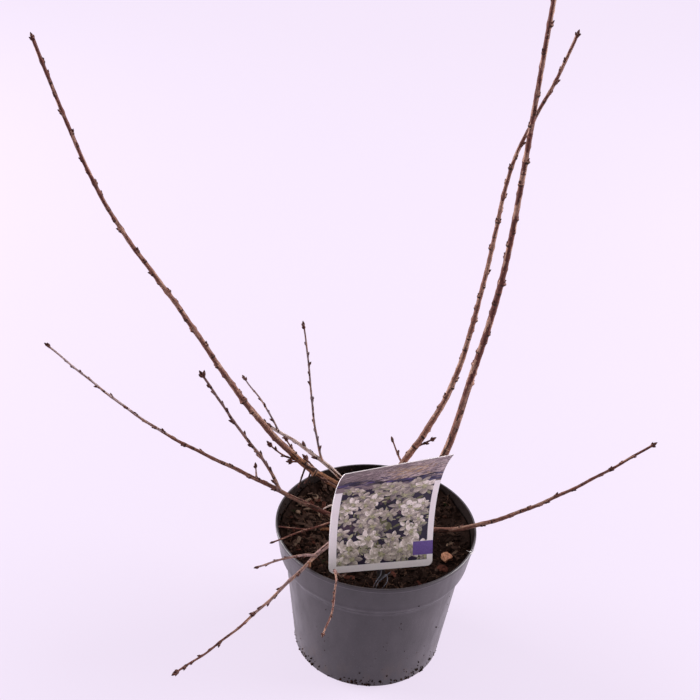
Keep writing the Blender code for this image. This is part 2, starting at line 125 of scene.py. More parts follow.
# height is where a stem leaves the trunk, and azimuths and rises are read evenly along it. barks
# are at its base (as far as base_end), along it and over its last third. As far as twin it
# looks like two strands, and past slimmer's distance it is that share as thick.
STEMS = {
    "left_tall": dict(height=14.3 * CM, length=46.2 * CM, azimuths=(165, 169, 170),
                      rises=(7, 41, 55, 52, 67, 70), foot=2.6 * MM, tip=1.0 * MM, thicker=0.35 * MM,
                      bough_end=4.6 * CM, internode=19 * MM, base_end=8.5 * CM, twin=5.6 * CM,
                      barks=("bark_tan", "bark_red", "bark_dark")),
    "left_low": dict(height=11.4 * CM, length=30.8 * CM, azimuths=(169, 176, 172),
                     rises=(8, 23, 24, 36, 39), foot=2.4 * MM, tip=0.8 * MM,
                     bough_end=8.1 * CM, internode=17 * MM,
                     barks=("bark_dark", "bark_red", "bark_grey")),
    "left_pale": dict(height=13.1 * CM, length=12.2 * CM, azimuths=(141, 153, 159),
                      rises=(25, 24, 14), foot=2.0 * MM, tip=1.2 * MM, thicker=0.1 * MM,
                      bough_end=5.9 * CM, internode=16 * MM, twin=6.2 * CM,
                      barks=("bark_pale", "bark_pale", "bark_pale"), bud_size=1.5, rosette=1.3),
    "right_rear": dict(height=15.0 * CM, length=39.9 * CM, azimuths=(40, 42, 39),
                       rises=(44, 49, 74, 80, 82, 56, 68), foot=2.5 * MM, tip=0.9 * MM,
                       thicker=0.35 * MM, bough_end=3.0 * CM, internode=19 * MM,
                       barks=("bark_tan", "bark_red", "bark_dark")),
    "right_tall": dict(height=12.8 * CM, length=57.0 * CM, azimuths=(3, 5, 4),
                       rises=(34, 77, 80, 87, 88, 87, 84), foot=3.0 * MM, tip=1.0 * MM,
                       thicker=0.4 * MM, bough_end=14.0 * CM, internode=20 * MM,
                       barks=("bark_red", "bark_dark", "bark_dark")),
    "right_low": dict(height=12.8 * CM, length=24.0 * CM, azimuths=(-6, 8, 9),
                      rises=(-18, 17, 30, 38), foot=2.3 * MM, tip=0.8 * MM, thicker=0.2 * MM,
                      bough_end=6.0 * CM, internode=17 * MM,
                      barks=("bark_red", "bark_red", "bark_dark")),
    "front_left": dict(height=13.3 * CM, length=21.9 * CM, azimuths=(229, 230, 228),
                       rises=(8, -15, -12, 1), foot=2.5 * MM, tip=0.8 * MM, thicker=0.1 * MM,
                       bough_end=6.7 * CM, internode=17 * MM, base_end=7.2 * CM,
                       barks=("bark_pink", "bark_mauve", "bark_dark"), slimmer=(7.3 * CM, 0.8)),
    "left_thin": dict(height=12.4 * CM, length=9.2 * CM, azimuths=(205, 205), rises=(25, -4, -10),
                      foot=1.0 * MM, tip=0.65 * MM, bough_end=0, internode=17 * MM,
                      barks=("bark_mauve", "bark_dark", "bark_dark"), bud_size=0.8, rosette=0),
    "front_thin": dict(height=11.9 * CM, length=19.4 * CM, azimuths=(247, 250, 273, 255),
                       rises=(-7, -13, 46, 36, -6, -3), foot=1.0 * MM, tip=0.65 * MM,
                       bough_end=0, internode=17 * MM, base_end=9.0 * CM,
                       barks=("bark_scar", "bark_mauve", "bark_dark"), bud_size=0.7, rosette=0),
}
# Each stem's side twigs, which start this far along it.
SIDE_TWIGS = {
    "left_tall": (
        dict(start=5.2 * CM, length=1.9 * CM, azimuths=(149,), rises=(35,), internode=8 * MM, rosette=1.3),
        # The next two hang down below the stem; their near-black scar bark is painted shade.
        dict(start=6.1 * CM, length=1.2 * CM, azimuths=(230,), rises=(-90, -36), bark="bark_scar",
             bud_size=0.6),
        dict(start=6.6 * CM, length=2.0 * CM, azimuths=(200,), rises=(-75,), bark="bark_scar", bud_size=0.7),
        dict(start=7.1 * CM, length=1.0 * CM, azimuths=(200,), rises=(12,), rosette=1.2),
        dict(start=7.2 * CM, length=3.1 * CM, azimuths=(185,), rises=(13, 52), internode=8 * MM),
        dict(start=7.5 * CM, length=1.8 * CM, azimuths=(140,), rises=(42,)),
    ),
    "left_low": (
        dict(start=8.7 * CM, length=11.7 * CM, azimuths=(163,), rises=(68, 48, 53, 53), foot=1.4 * MM,
             tip=1.0 * MM, internode=12 * MM, rosette=1.6, bud_size=1.25, bark="bark_mauve"),
        dict(start=10.8 * CM, length=1.2 * CM, azimuths=(120,), rises=(79,)),
    ),
    "left_pale": (
        dict(start=6.3 * CM, length=11.6 * CM, azimuths=(123,), rises=(54, 72, 75, 67), foot=1.0 * MM,
             tip=0.7 * MM, bark="bark_ash"),
        dict(start=10.7 * CM, length=5.9 * CM, azimuths=(129,), rises=(45, 20, 16), bark="bark_ash"),
    ),
    "right_rear": (
        dict(start=3.2 * CM, length=2.2 * CM, azimuths=(119,), rises=(12, 45)),
        dict(start=4.7 * CM, length=1.7 * CM, azimuths=(19,), rises=(25,)),
    ),
    "front_left": (
        dict(start=7.3 * CM, length=5.1 * CM, azimuths=(210,), rises=(27, 2, 0), foot=1.2 * MM,
             tip=0.7 * MM, bark="bark_mauve", bud_size=0.8, rosette=0),
        dict(start=8.1 * CM, length=0.35 * CM, azimuths=(290,), rises=(-40,), foot=1.3 * MM,
             tip=0.9 * MM, bark="bark_tan", bud_size=0.4, rosette=0),
    ),
    "left_thin": (
        dict(start=6.3 * CM, length=2.1 * CM, azimuths=(175,), rises=(1,), foot=0.7 * MM,
             tip=0.55 * MM, bud_size=0.6, rosette=0),
    ),
}
TWIG_FOOT = 0.85 * MM
TWIG_TIP = 0.65 * MM
TWIG_INTERNODE = 15 * MM

BARKS = ("bark_red", "bark_dark", "bark_pale", "bark_mauve", "bark_grey", "bark_tan", "bark_pink",
         "bark_scar", "bark_film", "bark_lenticel", "bark_ash")
SCAR, FILM, LENTICEL = 7, 8, 9     # their places in the list
STEM_SIDES = 16
TWIG_SIDES = 10
SEAM_FACES = Vector((-0.3, -0.8, 0.5))      # where the seam of a twin base faces
FILM_LEVEL = 0.3                   # the higher, the fewer pale patches
RING_SPACING = 0.75 * MM
LENTICELS_PER_METRE = 420

# The plant label.
LABEL_WIDTH = 8.3 * CM
LABEL_LENGTH = 12.9 * CM
LABEL_THICKNESS = 0.5 * MM
LABEL_FOOT = Vector((0.5 * CM, -5.0 * CM, 11.55 * CM))
LABEL_YAW = 11.2
LABEL_LEAN = -16.9
LABEL_ROLL = -9.3
LABEL_SKEW = -8.0
LABEL_CURL_RADIUS = 12.4 * CM
LABEL_CORNER = 4.5 * MM
LABEL_ROWS = 72
LABEL_COLUMNS = 31                 # between the rounded corners
CORNER_STEPS = 8
SPIKE_LENGTH = 4.2 * CM
SPIKE_TOP_HALF = 3.4 * MM
SPIKE_TIP_HALF = 1.6 * MM
SPIKE_THICKNESS = 1.0 * MM
SPIKE_OVERLAP = 4 * MM             # how far it reaches up over the card
SPIKE_STEPS = 8
PICTURE = (-3.55 * CM, 3.68 * CM, 0.57 * CM, 8.55 * CM)    # left, right, bottom, top
CHIP = (2.55 * CM, 4.15 * CM, 1.0 * CM, 2.2 * CM)
INK = 0.0012 * MM                  # how far a printed shape stands above those under it


# -- finishes

def plain_finish(name, colour, roughness, **sockets):
    """A Principled material; more of its sockets can be set by name, with _ for a space."""
    made = bpy.data.materials.new(name)
    made.use_nodes = True
    inputs = shader_inputs(made)
    inputs["Base Color"].default_value = (*colour, 1)
    inputs["Roughness"].default_value = roughness
    for socket, value in sockets.items():
        inputs[socket.replace("_", " ")].default_value = value
    made.diffuse_color = (*colour, 1)
    return made


def shader_inputs(finish):
    return finish.node_tree.nodes["Principled BSDF"].inputs


def add_node(tree, kind, sockets, **settings):
    """A node; sockets holds, by name or place, the values set and the outputs linked in."""
    made = tree.nodes.new("ShaderNode" + kind)
    for setting, value in settings.items():
        setattr(made, setting, value)
    for place, value in sockets.items():
        if isinstance(value, bpy.types.NodeSocket):
            tree.links.new(value, made.inputs[place])
        else:
            made.inputs[place].default_value = value
    return made


def pattern(finish, size, stretch=(1, 1, 1), detail=3, seed=0):
    """A noise whose lumps are about this size, in the object's own space."""
    tree = finish.node_tree
    place = add_node(tree, "TexCoord", {}).outputs["Object"]
    shift = add_node(tree, "Mapping", {"Vector": place, "Scale": stretch,
                                       "Location": (seed * 1.7, seed * 2.3, seed * 3.1)})
    grain = add_node(tree, "TexNoise", {"Vector": shift.outputs["Vector"], "Scale": 1 / size,
                                        "Detail": detail})
    return grain.outputs["Fac"]


def ramp(finish, source, stops):
    """Turns a value into a colour; each stop is a place and a colour."""
    made = add_node(finish.node_tree, "ValToRGB", {"Fac": source})
    for _ in stops[2:]:
        made.color_ramp.elements.new(0.5)
    for element, (place, colour) in zip(made.color_ramp.elements, stops):
        element.position = place
        element.color = (*colour, 1)
    return made.outputs["Color"]


def tinted(colour, share):
    return tuple(min(channel * share, 1) for channel in colour)


def mottle(finish, size, share=0.35, **noise_settings):
    """Varies the base colour about itself."""
    base = shader_inputs(finish)["Base Color"]
    colour = tuple(base.default_value)[:3]
    stops = (0.32, tinted(colour, 1 - share)), (0.5, colour), (0.68, tinted(colour, 1 + share))
    finish.node_tree.links.new(ramp(finish, pattern(finish, size, **noise_settings), stops), base)
    return finish


def uneven_gloss(finish, size, low, high, **noise_settings):
    fit = add_node(finish.node_tree, "MapRange",
                   {"Value": pattern(finish, size, **noise_settings), "From Min": 0.35,
                    "From Max": 0.65, "To Min": low, "To Max": high})
    finish.node_tree.links.new(fit.outputs["Result"], shader_inputs(finish)["Roughness"])
    return finish


def relief(finish, size, depth, **noise_settings):
    """Adds a bump on top of any that the finish has."""
    normal = shader_inputs(finish)["Normal"]
    bump = add_node(finish.node_tree, "Bump", {"Distance": depth,
                                               "Height": pattern(finish, size, **noise_settings)})
    if normal.is_linked:
        finish.node_tree.links.new(normal.links[0].from_socket, bump.inputs["Normal"])
    finish.node_tree.links.new(bump.outputs["Normal"], normal)
    return finish


def bark_finish(name, colour, roughness=0.6):
    made = plain_finish(name, colour, roughness, Specular_IOR_Level=0.14)
    mottle(made, 2.2 * MM, 0.35, detail=4)
    uneven_gloss(made, 1.5 * MM, roughness - 0.12, roughness + 0.15)
    relief(made, 0.5 * MM, 0.08 * MM)
    return relief(made, 0.14 * MM, 0.03 * MM, seed=2)


def loose_finish(name, colour, roughness=0.9, grain=0.6 * MM):
    """Compost, wood and other crumbly bits; also the painted shade inside the pot."""
    made = plain_finish(name, colour, roughness, Specular_IOR_Level=0.05)
    mottle(made, 1.6 * MM, 0.45, detail=4)
    return relief(made, grain, 0.25 * MM, detail=5)


def ink_finish(name, colour, share=0.14):
    """Printing ink under the card's clear film."""
    made = plain_finish(name, colour, 0.42, Specular_IOR_Level=0.3, Coat_Weight=0.08, Coat_Roughness=0.2)
    mottle(made, 1.1 * MM, share, detail=4)
    return uneven_gloss(made, 4 * MM, 0.36, 0.48)


def pot_finish():
    """Matt recycled plastic, finely speckled, dusty, and soiled towards its foot."""
    made = plain_finish("pot_plastic", (0.04, 0.0345, 0.0405), 0.35)
    tree = made.node_tree
    inputs = shader_inputs(made)
    colour = ramp(made, pattern(made, 14 * MM, stretch=(1, 1, 0.5), detail=5),
                  ((0.3, (0.0325, 0.0262, 0.03)), (0.5, (0.039, 0.0314, 0.0365)),
                   (0.72, (0.0485, 0.0395, 0.045))))
    specks = ramp(made, pattern(made, 0.9 * MM, detail=2, seed=3),
                  ((0.62, (0, 0, 0)), (0.74, (1, 1, 1))))
    dust = ramp(made, pattern(made, 6 * MM, stretch=(1, 1, 0.35), detail=6, seed=5),
                ((0.48, (0, 0, 0)), (0.8, (1, 1, 1))))
    place = add_node(tree, "TexCoord", {}).outputs["Object"]
    height = add_node(tree, "SeparateXYZ", {"Vector": place}).outputs["Z"]
    low = add_node(tree, "MapRange", {"Value": height, "From Min": 0.035, "From Max": 0.002})
    level = add_node(tree, "Math", {0: height, 1: POT_HEIGHT}, operation="DIVIDE")
    foot = POT_STEP_FOOT / POT_HEIGHT
    head = POT_STEP_HEAD / POT_HEIGHT
    dull, usual = (0.33, 0.33, 0.33), (0.5, 0.5, 0.5)      # the step is scuffed and dusty
    duller = ramp(made, level.outputs[0],
                  ((foot - 0.03, usual), (foot, dull), (head + 0.01, dull), (head + 0.04, usual)))
    tree.links.new(duller, inputs["Specular IOR Level"])
    weak = add_node(tree, "Math", {0: specks, 1: 0.3}, operation="MULTIPLY")
    soiled = add_node(tree, "Math", {0: low.outputs["Result"], 1: dust}, operation="MULTIPLY")
    for share, over in ((weak, (0.14, 0.125, 0.135)), (soiled, (0.07, 0.045, 0.034))):
        mix = add_node(tree, "Mix", {"Factor": share.outputs[0], 6: colour, 7: (*over, 1)},
                       data_type="RGBA")
        colour = mix.outputs[2]
    tree.links.new(colour, inputs["Base Color"])
    uneven_gloss(made, 9 * MM, 0.28, 0.42, stretch=(1, 1, 0.4), detail=5, seed=1)
    relief(made, 0.45 * MM, 0.035 * MM, detail=4)
    return relief(made, 12 * MM, 0.12 * MM, stretch=(1, 1, 0.25), seed=4)


def floor_finish():
    """Glowing paper, a little brighter further out."""
    made = plain_finish("floor_paper", FLOOR_COLOUR, 0.9, Specular_IOR_Level=0,
                        Emission_Color=(*FLOOR_GLOW, 1))
    tree = made.node_tree
    place = add_node(tree, "TexCoord", {}).outputs["Object"]
    reach = add_node(tree, "VectorMath", {0: place}, operation="LENGTH").outputs["Value"]
    (near, low), (far, high) = FLOOR_FALL
    glow = add_node(tree, "MapRange", {"Value": reach, "From Min": near, "From Max": far,
                                       "To Min": low, "To Max": high})
    tree.links.new(glow.outputs["Result"], shader_inputs(made)["Emission Strength"])
    return mottle(made, 0.4, 0.01)


def make_finishes():
    """Every finish, by name."""
    spike = plain_finish("spike_plastic", (0.03, 0.022, 0.02), 0.4, Transmission_Weight=0.3)
    made = {"pot_plastic": pot_finish(), "floor_paper": floor_finish(),
            "spike_plastic": relief(mottle(spike, 3 * MM, 0.08), 1.2 * MM, 0.03 * MM)}
    kinds = (
        (bark_finish, dict(                # colour and roughness
            bark_red=((0.137, 0.059, 0.043),), bark_dark=((0.088, 0.030, 0.023),),
            bark_pale=((0.35, 0.262, 0.237), 0.7), bark_mauve=((0.17, 0.1, 0.093),),
            bark_grey=((0.31, 0.23, 0.225), 0.65), bark_tan=((0.165, 0.072, 0.038), 0.7),
            bark_pink=((0.23, 0.135, 0.125), 0.65), bark_scar=((0.04, 0.019, 0.014), 0.75),
            bark_film=((0.22, 0.12, 0.088), 0.55), bark_lenticel=((0.36, 0.22, 0.14), 0.8),
            bark_ash=((0.115, 0.08, 0.088), 0.65), bark_old=((0.13, 0.07, 0.042), 0.85),
            bark_fissure=((0.035, 0.018, 0.012), 0.9), bud_scale=((0.032, 0.009, 0.009), 0.5),
            bud_edge=((0.11, 0.04, 0.026), 0.65))),
        (loose_finish, dict(               # colour, roughness and grain
            # The inside of the pot: the same plastic, made near black and compost-like as painted shade.
            pot_inside=((0.011, 0.007, 0.0066), 1), compost=((0.012, 0.0055, 0.004),),
            crumb_dark=((0.015, 0.0075, 0.0055),), crumb_brown=((0.038, 0.017, 0.012),),
            chip_brown=((0.042, 0.023, 0.017), 0.8), chip_olive=((0.12, 0.078, 0.056), 0.75),
            chip_red=((0.06, 0.02, 0.014), 0.8), chip_amber=((0.36, 0.17, 0.105), 0.7),
            chip_rust=((0.1, 0.042, 0.022), 0.75), moss=((0.035, 0.05, 0.018), 0.85),
            fibre=((0.075, 0.04, 0.026), 0.8, 0.3 * MM),
            pale_fluff=((0.75, 0.7, 0.68), 0.8, 0.2 * MM),
            hair_film=((0.075, 0.072, 0.085), 0.5, 0.3 * MM))),
        (ink_finish, dict(                 # colour and how much it is mottled
            # The card's back is its own white greyed down: painted shade.
            label_card=((0.86, 0.79, 0.79), 0.03), label_back=((0.43, 0.4, 0.405), 0.05),
            ink_violet=((0.022, 0.014, 0.034),), ink_navy=((0.010, 0.008, 0.018),),
            ink_plum=((0.065, 0.035, 0.055),), ink_moss=((0.11, 0.105, 0.05),),
            ink_leaf=((0.22, 0.21, 0.115),), ink_lime=((0.42, 0.39, 0.23),),
            ink_petal=((0.8, 0.71, 0.66),), ink_warm=((0.58, 0.5, 0.43),),
            ink_cream=((0.42, 0.355, 0.295),), ink_mist=((0.29, 0.24, 0.215),),
            ink_shade=((0.18, 0.145, 0.145),), ink_sage=((0.29, 0.27, 0.185),),
            ink_slate=((0.07, 0.054, 0.064),), ink_chip=((0.135, 0.08, 0.28),),
            ink_lilac=((0.23, 0.17, 0.18),), ink_haze=((0.6, 0.475, 0.47),),
            ink_ochre=((0.5, 0.33, 0.19),), ink_indigo=((0.055, 0.046, 0.105),))),
    )
    for finish, settings in kinds:
        for name, values in settings.items():
            made[name] = finish(name, *values)
    return made


# -- building pieces

class Skin:
    """Gathers the points and faces of one piece; each face holds the number of its finish."""

    def __init__(self):
        self.points = []
        self.faces = []
        self.finishes = []

    def face(self, corners, finish=0):
        self.faces.append(corners)
        self.finishes.append(finish)

    def loft(self, rings, finish=0, capped=True):
        """Joins rings of points; finish is a number, or gives one for a ring and a side."""
        count = len(rings[0])
        firsts = []
        for ring in rings:
            firsts.append(len(self.points))
            self.points.extend(ring)
        for i in range(len(rings) - 1):
            for k in range(count):
                j = (k + 1) % count
                kind = finish(i, k) if callable(finish) else finish
                self.face((firsts[i] + k, firsts[i] + j, firsts[i + 1] + j, firsts[i + 1] + k), kind)
        if capped:
            for first, end in ((firsts[0], 0), (firsts[-1], len(rings) - 2)):
                kind = finish(end, 0) if callable(finish) else finish
                self.face(tuple(range(first, first + count)), kind)


def make_mesh(name, skin, finishes, outward=True, crease=50):
    """A mesh from a skin, with its faces turned outward where it is closed."""
    mesh = bpy.data.meshes.new(name)
    mesh.from_pydata(skin.points, [], skin.faces)
    for finish in finishes:
        mesh.materials.append(FINISHES[finish])
    mesh.polygons.foreach_set("material_index", skin.finishes)
    if outward:
        shape = bmesh.new()
        shape.from_mesh(mesh)
        bmesh.ops.recalc_face_normals(shape, faces=shape.faces)
        shape.to_mesh(mesh)
        shape.free()
    mesh.shade_smooth()
    mesh.set_sharp_from_angle(angle=radians(crease))
    return mesh


def turns(count):
    """The cosine and sine of each of so many directions round a circle."""
    return [(cos(tau * k / count), sin(tau * k / count)) for k in range(count)]


def flat_ring(radius, height, count):
    return [Vector((radius * c, radius * s, height)) for c, s in turns(count)]


def ring_round(centre, across, beside, radius, count):
    return [centre + (across * c + beside * s) * radius for c, s in turns(count)]


def bearing(angle):
    """The level direction at an angle in radians."""
    return Vector((cos(angle), sin(angle), 0))


def sideways(heading, degrees):
    """A direction square to a heading, turned about it."""
    return Quaternion(heading, radians(degrees)) @ heading.orthogonal().normalized()


def leaning(heading, side, degrees):
    """A direction this far off a heading, towards one side."""
    lean = radians(degrees)
    return heading * cos(lean) + side * sin(lean)


def between(value, low, high):
    return min(max(value, low), high)


def place_object(name, data):
    """An object with this mesh, light or camera, put in the scene."""
    made = bpy.data.objects.new(name, data)
    bpy.context.scene.collection.objects.link(made)
    return made


def show_skin(name, skin, finishes, slot, replaced=(), **how):
    show(name, make_mesh(name, skin, finishes, **how), replaced)


def show(name, mesh, replaced=()):
    """Puts a mesh in the scene as a piece of the plant."""
    piece = place_object(name, mesh)
    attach(piece, "root")
    if replaced:
        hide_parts(*replaced)


def evaluated(thing):
    """The object's mesh with its modifiers applied; the object itself is removed."""
    graph = bpy.context.evaluated_depsgraph_get()
    mesh = bpy.data.meshes.new_from_object(thing.evaluated_get(graph))
    bpy.data.objects.remove(thing)
    return mesh


def rough(point, size, seed=0):
    """Smooth noise from -1 to 1, whose lumps are about this size."""
    return noise.noise(point / size + Vector((seed * 7.3, seed * 3.9, seed * 5.1)))


def spread(values, along):
    """Reads evenly spread values at a share of the way along them, on a smooth curve."""
    if len(values) == 1:
        return values[0]
    place = along * (len(values) - 1)
    i = min(int(place), len(values) - 2)
    share = place - i
    before = values[max(i - 1, 0)]
    here = values[i]
    there = values[i + 1]
    after = values[min(i + 2, len(values) - 1)]
    return 0.5 * (2 * here + (there - before) * share
                  + (2 * before - 5 * here + 4 * there - after) * share ** 2
                  + (3 * here - before - 3 * there + after) * share ** 3)


def bell(distance, width):
    return exp(-(distance / width) ** 2)


# -- stems and buds

class Stem:
    """A tapering stem whose centreline turns smoothly through its azimuths and rises."""

    def __init__(self, start, size, seed):
        self.length = length = size["length"]
        self.internode = size.get("internode", TWIG_INTERNODE)
        self.foot = size.get("foot", TWIG_FOOT) + size.get("thicker", 0)
        self.tip = size.get("tip", TWIG_TIP) + size.get("thicker", 0)
        self.waist, self.slimmer = size.get("slimmer", (0, 1))
        self.dice = random.Random(seed)
        phase = self.dice.uniform(0, tau)
        strides = max(round(length / STEP), 8)
        self.points = [Vector(start)]
        self.headings = []
        for i in range(strides):
            along = (i + 0.5) / strides
            swing = ZIGZAG * sin(pi * along * length / self.internode + phase)
            azimuth = radians(spread(size["azimuths"], along) + swing)
            rise = radians(spread(size["rises"], along))
            heading = Vector((cos(rise) * cos(azimuth), cos(rise) * sin(azimuth), sin(rise)))
            self.headings.append(heading)
            self.points.append(self.points[-1] + heading * length / strides)

    def at(self, distance):
        place = between(distance / self.length, 0, 1) * len(self.headings)
        i = min(int(place), len(self.headings) - 1)
        return self.points[i].lerp(self.points[i + 1], place - i)

    def heading(self, distance):
        place = between(distance / self.length, 0, 1) * len(self.headings)
        return self.headings[min(int(place), len(self.headings) - 1)]

    def radius(self, distance):
        left = 1 - between(distance / self.length, 0, 1)
        past = between((distance - self.waist) / (5 * MM), 0, 1)
        return (self.tip + (self.foot - self.tip) * left ** TAPER) * (1 - (1 - self.slimmer) * past)

    def nodes(self, first):
        """Distances of the buds, from the first one up to just short of the tip."""
        found = []
        distance = first
        while distance < self.length - 0.4 * self.internode:
            found.append(distance)
            distance += self.internode * self.dice.uniform(0.8, 1.2)
        return found


def near_rim(point):
    reach = hypot(point.x, point.y)
    beside = abs(reach - POT_RIM_RADIUS) < RIM_CLEARANCE
    return beside and point.z < POT_HEIGHT + RIM_CLEARANCE


def bud_places(stem, nodes, bud_size=1):
    """Where the source's buds stand: for each, its distance, side, foot, heading and size."""
    found = []
    turn = stem.dice.uniform(0, 360)
    for distance in nodes:
        turn += BUD_TURN
        heading = stem.heading(distance)
        cluster = stem.dice.random() < CLUSTER_CHANCE
        for offset in ((-BUD_SPREAD, 0, BUD_SPREAD) if cluster else (0,)):
            size = stem.dice.uniform(0.8, 1.1)
            side = sideways(heading, turn + offset)
            way = leaning(heading, side, BUD_ANGLE)
            foot = stem.at(distance) + side * stem.radius(distance) * SUNK
            if not near_rim(foot):
                found.append((distance, side, foot, way, bud_size * size))
    tip = stem.at(stem.length)
    heading = stem.heading(stem.length)
    found.append((stem.length, None, tip, heading, 1.15 * bud_size))
    for offset in (0, 150):
        side = sideways(heading, turn + offset)
        way = (heading + side * 0.8).normalized()
        foot = tip - heading * 1.2 * MM + side * stem.tip * SUNK
        found.append((stem.length, None, foot, way, 0.85 * bud_size))
    return found


PRESSED_ANGLE = 24
ROOM_FOR_MORE = 9 * MM
ROSETTE_BUDS = 4


def more_buds(stem, places, rosette, dice):
    """Smaller buds, pressed closer, between the source's; and a few more round the tip."""
    nodes = sorted({place[0] for place in places if place[1] is not None})
    found = []
    turn = dice.uniform(0, 360)
    for before, after in zip(nodes, nodes[1:]):
        turn += BUD_TURN
        distance = before + (after - before) * dice.uniform(0.4, 0.6)
        heading = stem.heading(distance)
        side = sideways(heading, turn)
        way = leaning(heading, side, PRESSED_ANGLE)
        foot = stem.at(distance) + side * stem.radius(distance) * 0.8
        if after - before > ROOM_FOR_MORE and not near_rim(foot):
            found.append((distance, side, foot, way, dice.uniform(0.6, 0.85)))
    tip = stem.at(stem.length)
    heading = stem.heading(stem.length)
    for _ in range(ROSETTE_BUDS if rosette else 0):
        turn += BUD_TURN
        side = sideways(heading, turn)
        way = (heading + side * dice.uniform(0.5, 1.1)).normalized()
        foot = tip - heading * dice.uniform(0.5, 3) * MM + side * stem.tip * 0.7
        found.append((stem.length, None, foot, way, rosette * dice.uniform(0.7, 0.95)))
    return found


BUD_SIDES = 10
BUD_PROFILE = ((-0.25, 0.62), (-0.08, 0.8), (0.06, 0.93), (0.18, 1.0), (0.3, 0.99), (0.42, 0.92),
               (0.54, 0.81), (0.65, 0.67), (0.76, 0.5), (0.86, 0.32), (0.94, 0.16))
BUD_SCALES = 3.3                   # turns of the spiral of overlapping scales


def add_bud(skin, foot, way, size):
    """A pointed bud of overlapping scales; faces at the scales' edges are paler."""
    across = way.orthogonal().normalized()
    beside = way.cross(across)
    rings = []
    steps = []
    for along, width in BUD_PROFILE:
        ring = []
        row = [(BUD_SCALES * along + 2 * k / BUD_SIDES) % 1 for k in range(BUD_SIDES)]
        for step, (c, s) in zip(row, turns(BUD_SIDES)):
            reach = BUD_RADIUS * size * width * (0.93 + 0.16 * step)
            ring.append(foot + way * BUD_LENGTH * size * along + (across * c + beside * s) * reach)
        rings.append(ring)
        steps.append(row)
    point = foot + way * BUD_LENGTH * size
    rings.append([point + (corner - point) * 0.02 for corner in rings[-1]])
    steps.append(steps[-1])
    skin.loft(rings, lambda i, k: 1 if steps[i][k] > 0.72 and i < len(BUD_PROFILE) - 3 else 0)


def ring_frames(stem, distances):
    """Centre, heading and two sideways directions at each distance, turned without twist."""
    heading = stem.heading(distances[0])
    across = heading.orthogonal().normalized()
    found = []
    for distance in distances:
        ahead = stem.heading(distance)
        across = (heading.rotation_difference(ahead) @ across).normalized()
        heading = ahead
        found.append((stem.at(distance), heading, across, heading.cross(across)))
    return found


TWIN_FADE = 8 * MM
NEAR_BUD = 6 * MM


def add_bark(skin, stem, start, sides, places, seed, barks, base_end=0, twin=0, flare=0):
    """The bark of one stem: grained and wrinkled, swollen at its buds, scarred below them.
    barks holds its finishes at its base, along it and over its last third. As far as twin
    it looks like two strands grown side by side."""
    count = round((stem.length - start) / RING_SPACING)
    distances = [start + (stem.length - start) * i / count for i in range(count + 1)]
    buds = [(place[0], place[1]) for place in places if place[1] is not None]
    rings = []
    kinds = []
    for distance, (centre, heading, across, beside) in zip(distances, ring_frames(stem, distances)):
        radius = stem.radius(distance) * (1 + flare * exp(-(distance - start) / (2 * stem.foot)))
        near = [(distance - node, side) for node, side in buds if abs(distance - node) < NEAR_BUD]
        older = 1 - distance / stem.length
        ring = []
        row = []
        for c, s in turns(sides):
            way = across * c + beside * s
            streak = noise.noise(Vector((1.4 * c, 1.4 * s, distance / (9 * MM) + seed)))
            wrinkle = noise.noise(Vector((3.2 * c, 3.2 * s, distance / (1.5 * MM) - seed)))
            swell = 0.06 * streak + (0.025 + 0.03 * older) * wrinkle
            patch = noise.noise(Vector((0.9 * c, 0.9 * s, distance / (13 * MM) + 2.7 * seed)))
            if distance < base_end + 9 * MM * patch:
                kind = SCAR if streak < -0.28 else barks[0]
            else:
                kind = barks[2] if older < 0.35 + 0.4 * patch else barks[1]
            if kind != SCAR and patch > FILM_LEVEL - 0.25 * older:
                kind = FILM
            for past, side in near:
                facing = max(way.dot(side), 0)
                swell += NODE_SWELLING * bell(past, 2.2 * MM) * (0.5 + 0.5 * facing)
                swell += 0.35 * facing ** 3 * bell(past + 0.9 * MM, 1.0 * MM)
                if facing > 0.55 and abs(past + 1.5 * MM) < 0.7 * MM:
                    kind = SCAR
            if distance < twin:
                wobble = 0.35 * noise.noise(Vector((distance / (11 * MM), seed, 0)))
                across_seam = abs(way.dot(heading.cross(SEAM_FACES).normalized()) + wobble)
                fade = min((twin - distance) / TWIN_FADE, 1)
                swell += fade * (0.45 * across_seam - 0.32)
                if across_seam < (0.3 + wobble) * fade:
                    kind = SCAR
            ring.append(centre + way * radius * (1 + swell))
            row.append(kind)
        rings.append(ring)
        kinds.append(row)
    skin.loft(rings, lambda i, k: kinds[i][k])


def add_knobs(skin, places, dice):
    """The dark knobs of old scars that the side buds sit on."""
    template = lump_template(1)
    for _, side, foot, way, size in places:
        if side is not None:
            half = (1.0 * MM * size, 1.0 * MM * size, 1.35 * MM * size)
            turn = UP.rotation_difference(way)
            add_lump(skin, template, foot - way * 0.5 * MM, half, turn, dice, SCAR)


LENTICEL_SIDES = 6


def add_lenticels(skin, stem, start, dice):
    """Small pale corky bumps, wider than tall, scattered over a stem."""
    for _ in range(round((stem.length - start) * LENTICELS_PER_METRE)):
        distance = dice.uniform(start, stem.length - 2 * MM)
        angle = dice.uniform(0, tau)
        heading = stem.heading(distance)
        across = heading.orthogonal().normalized()
        out = Quaternion(heading, angle) @ across
        round_it = heading.cross(out)
        radius = stem.radius(distance)
        wide = dice.uniform(0.18, 0.42) * MM
        tall = dice.uniform(0.1, 0.2) * MM
        rings = []
        for share, lift in ((1.25, -0.14 * MM), (1.0, 0.05 * MM), (0.45, 0.11 * MM)):
            ring = []
            for c, s in turns(LENTICEL_SIDES):
                sweep = c * wide * share / radius
                lifted = out * cos(sweep) + round_it * sin(sweep)
                ring.append(stem.at(distance) + lifted * (radius * 1.02 + lift)
                            + heading * s * tall * share)
            rings.append(ring)
        skin.loft(rings, LENTICEL)


def trunk_axis(height):
    share = max(0, 1 - (height - SOIL_TOP) / TRUNK_LEAN_HEIGHT)
    return Vector((0, 0, height)) + TRUNK_LEAN * share


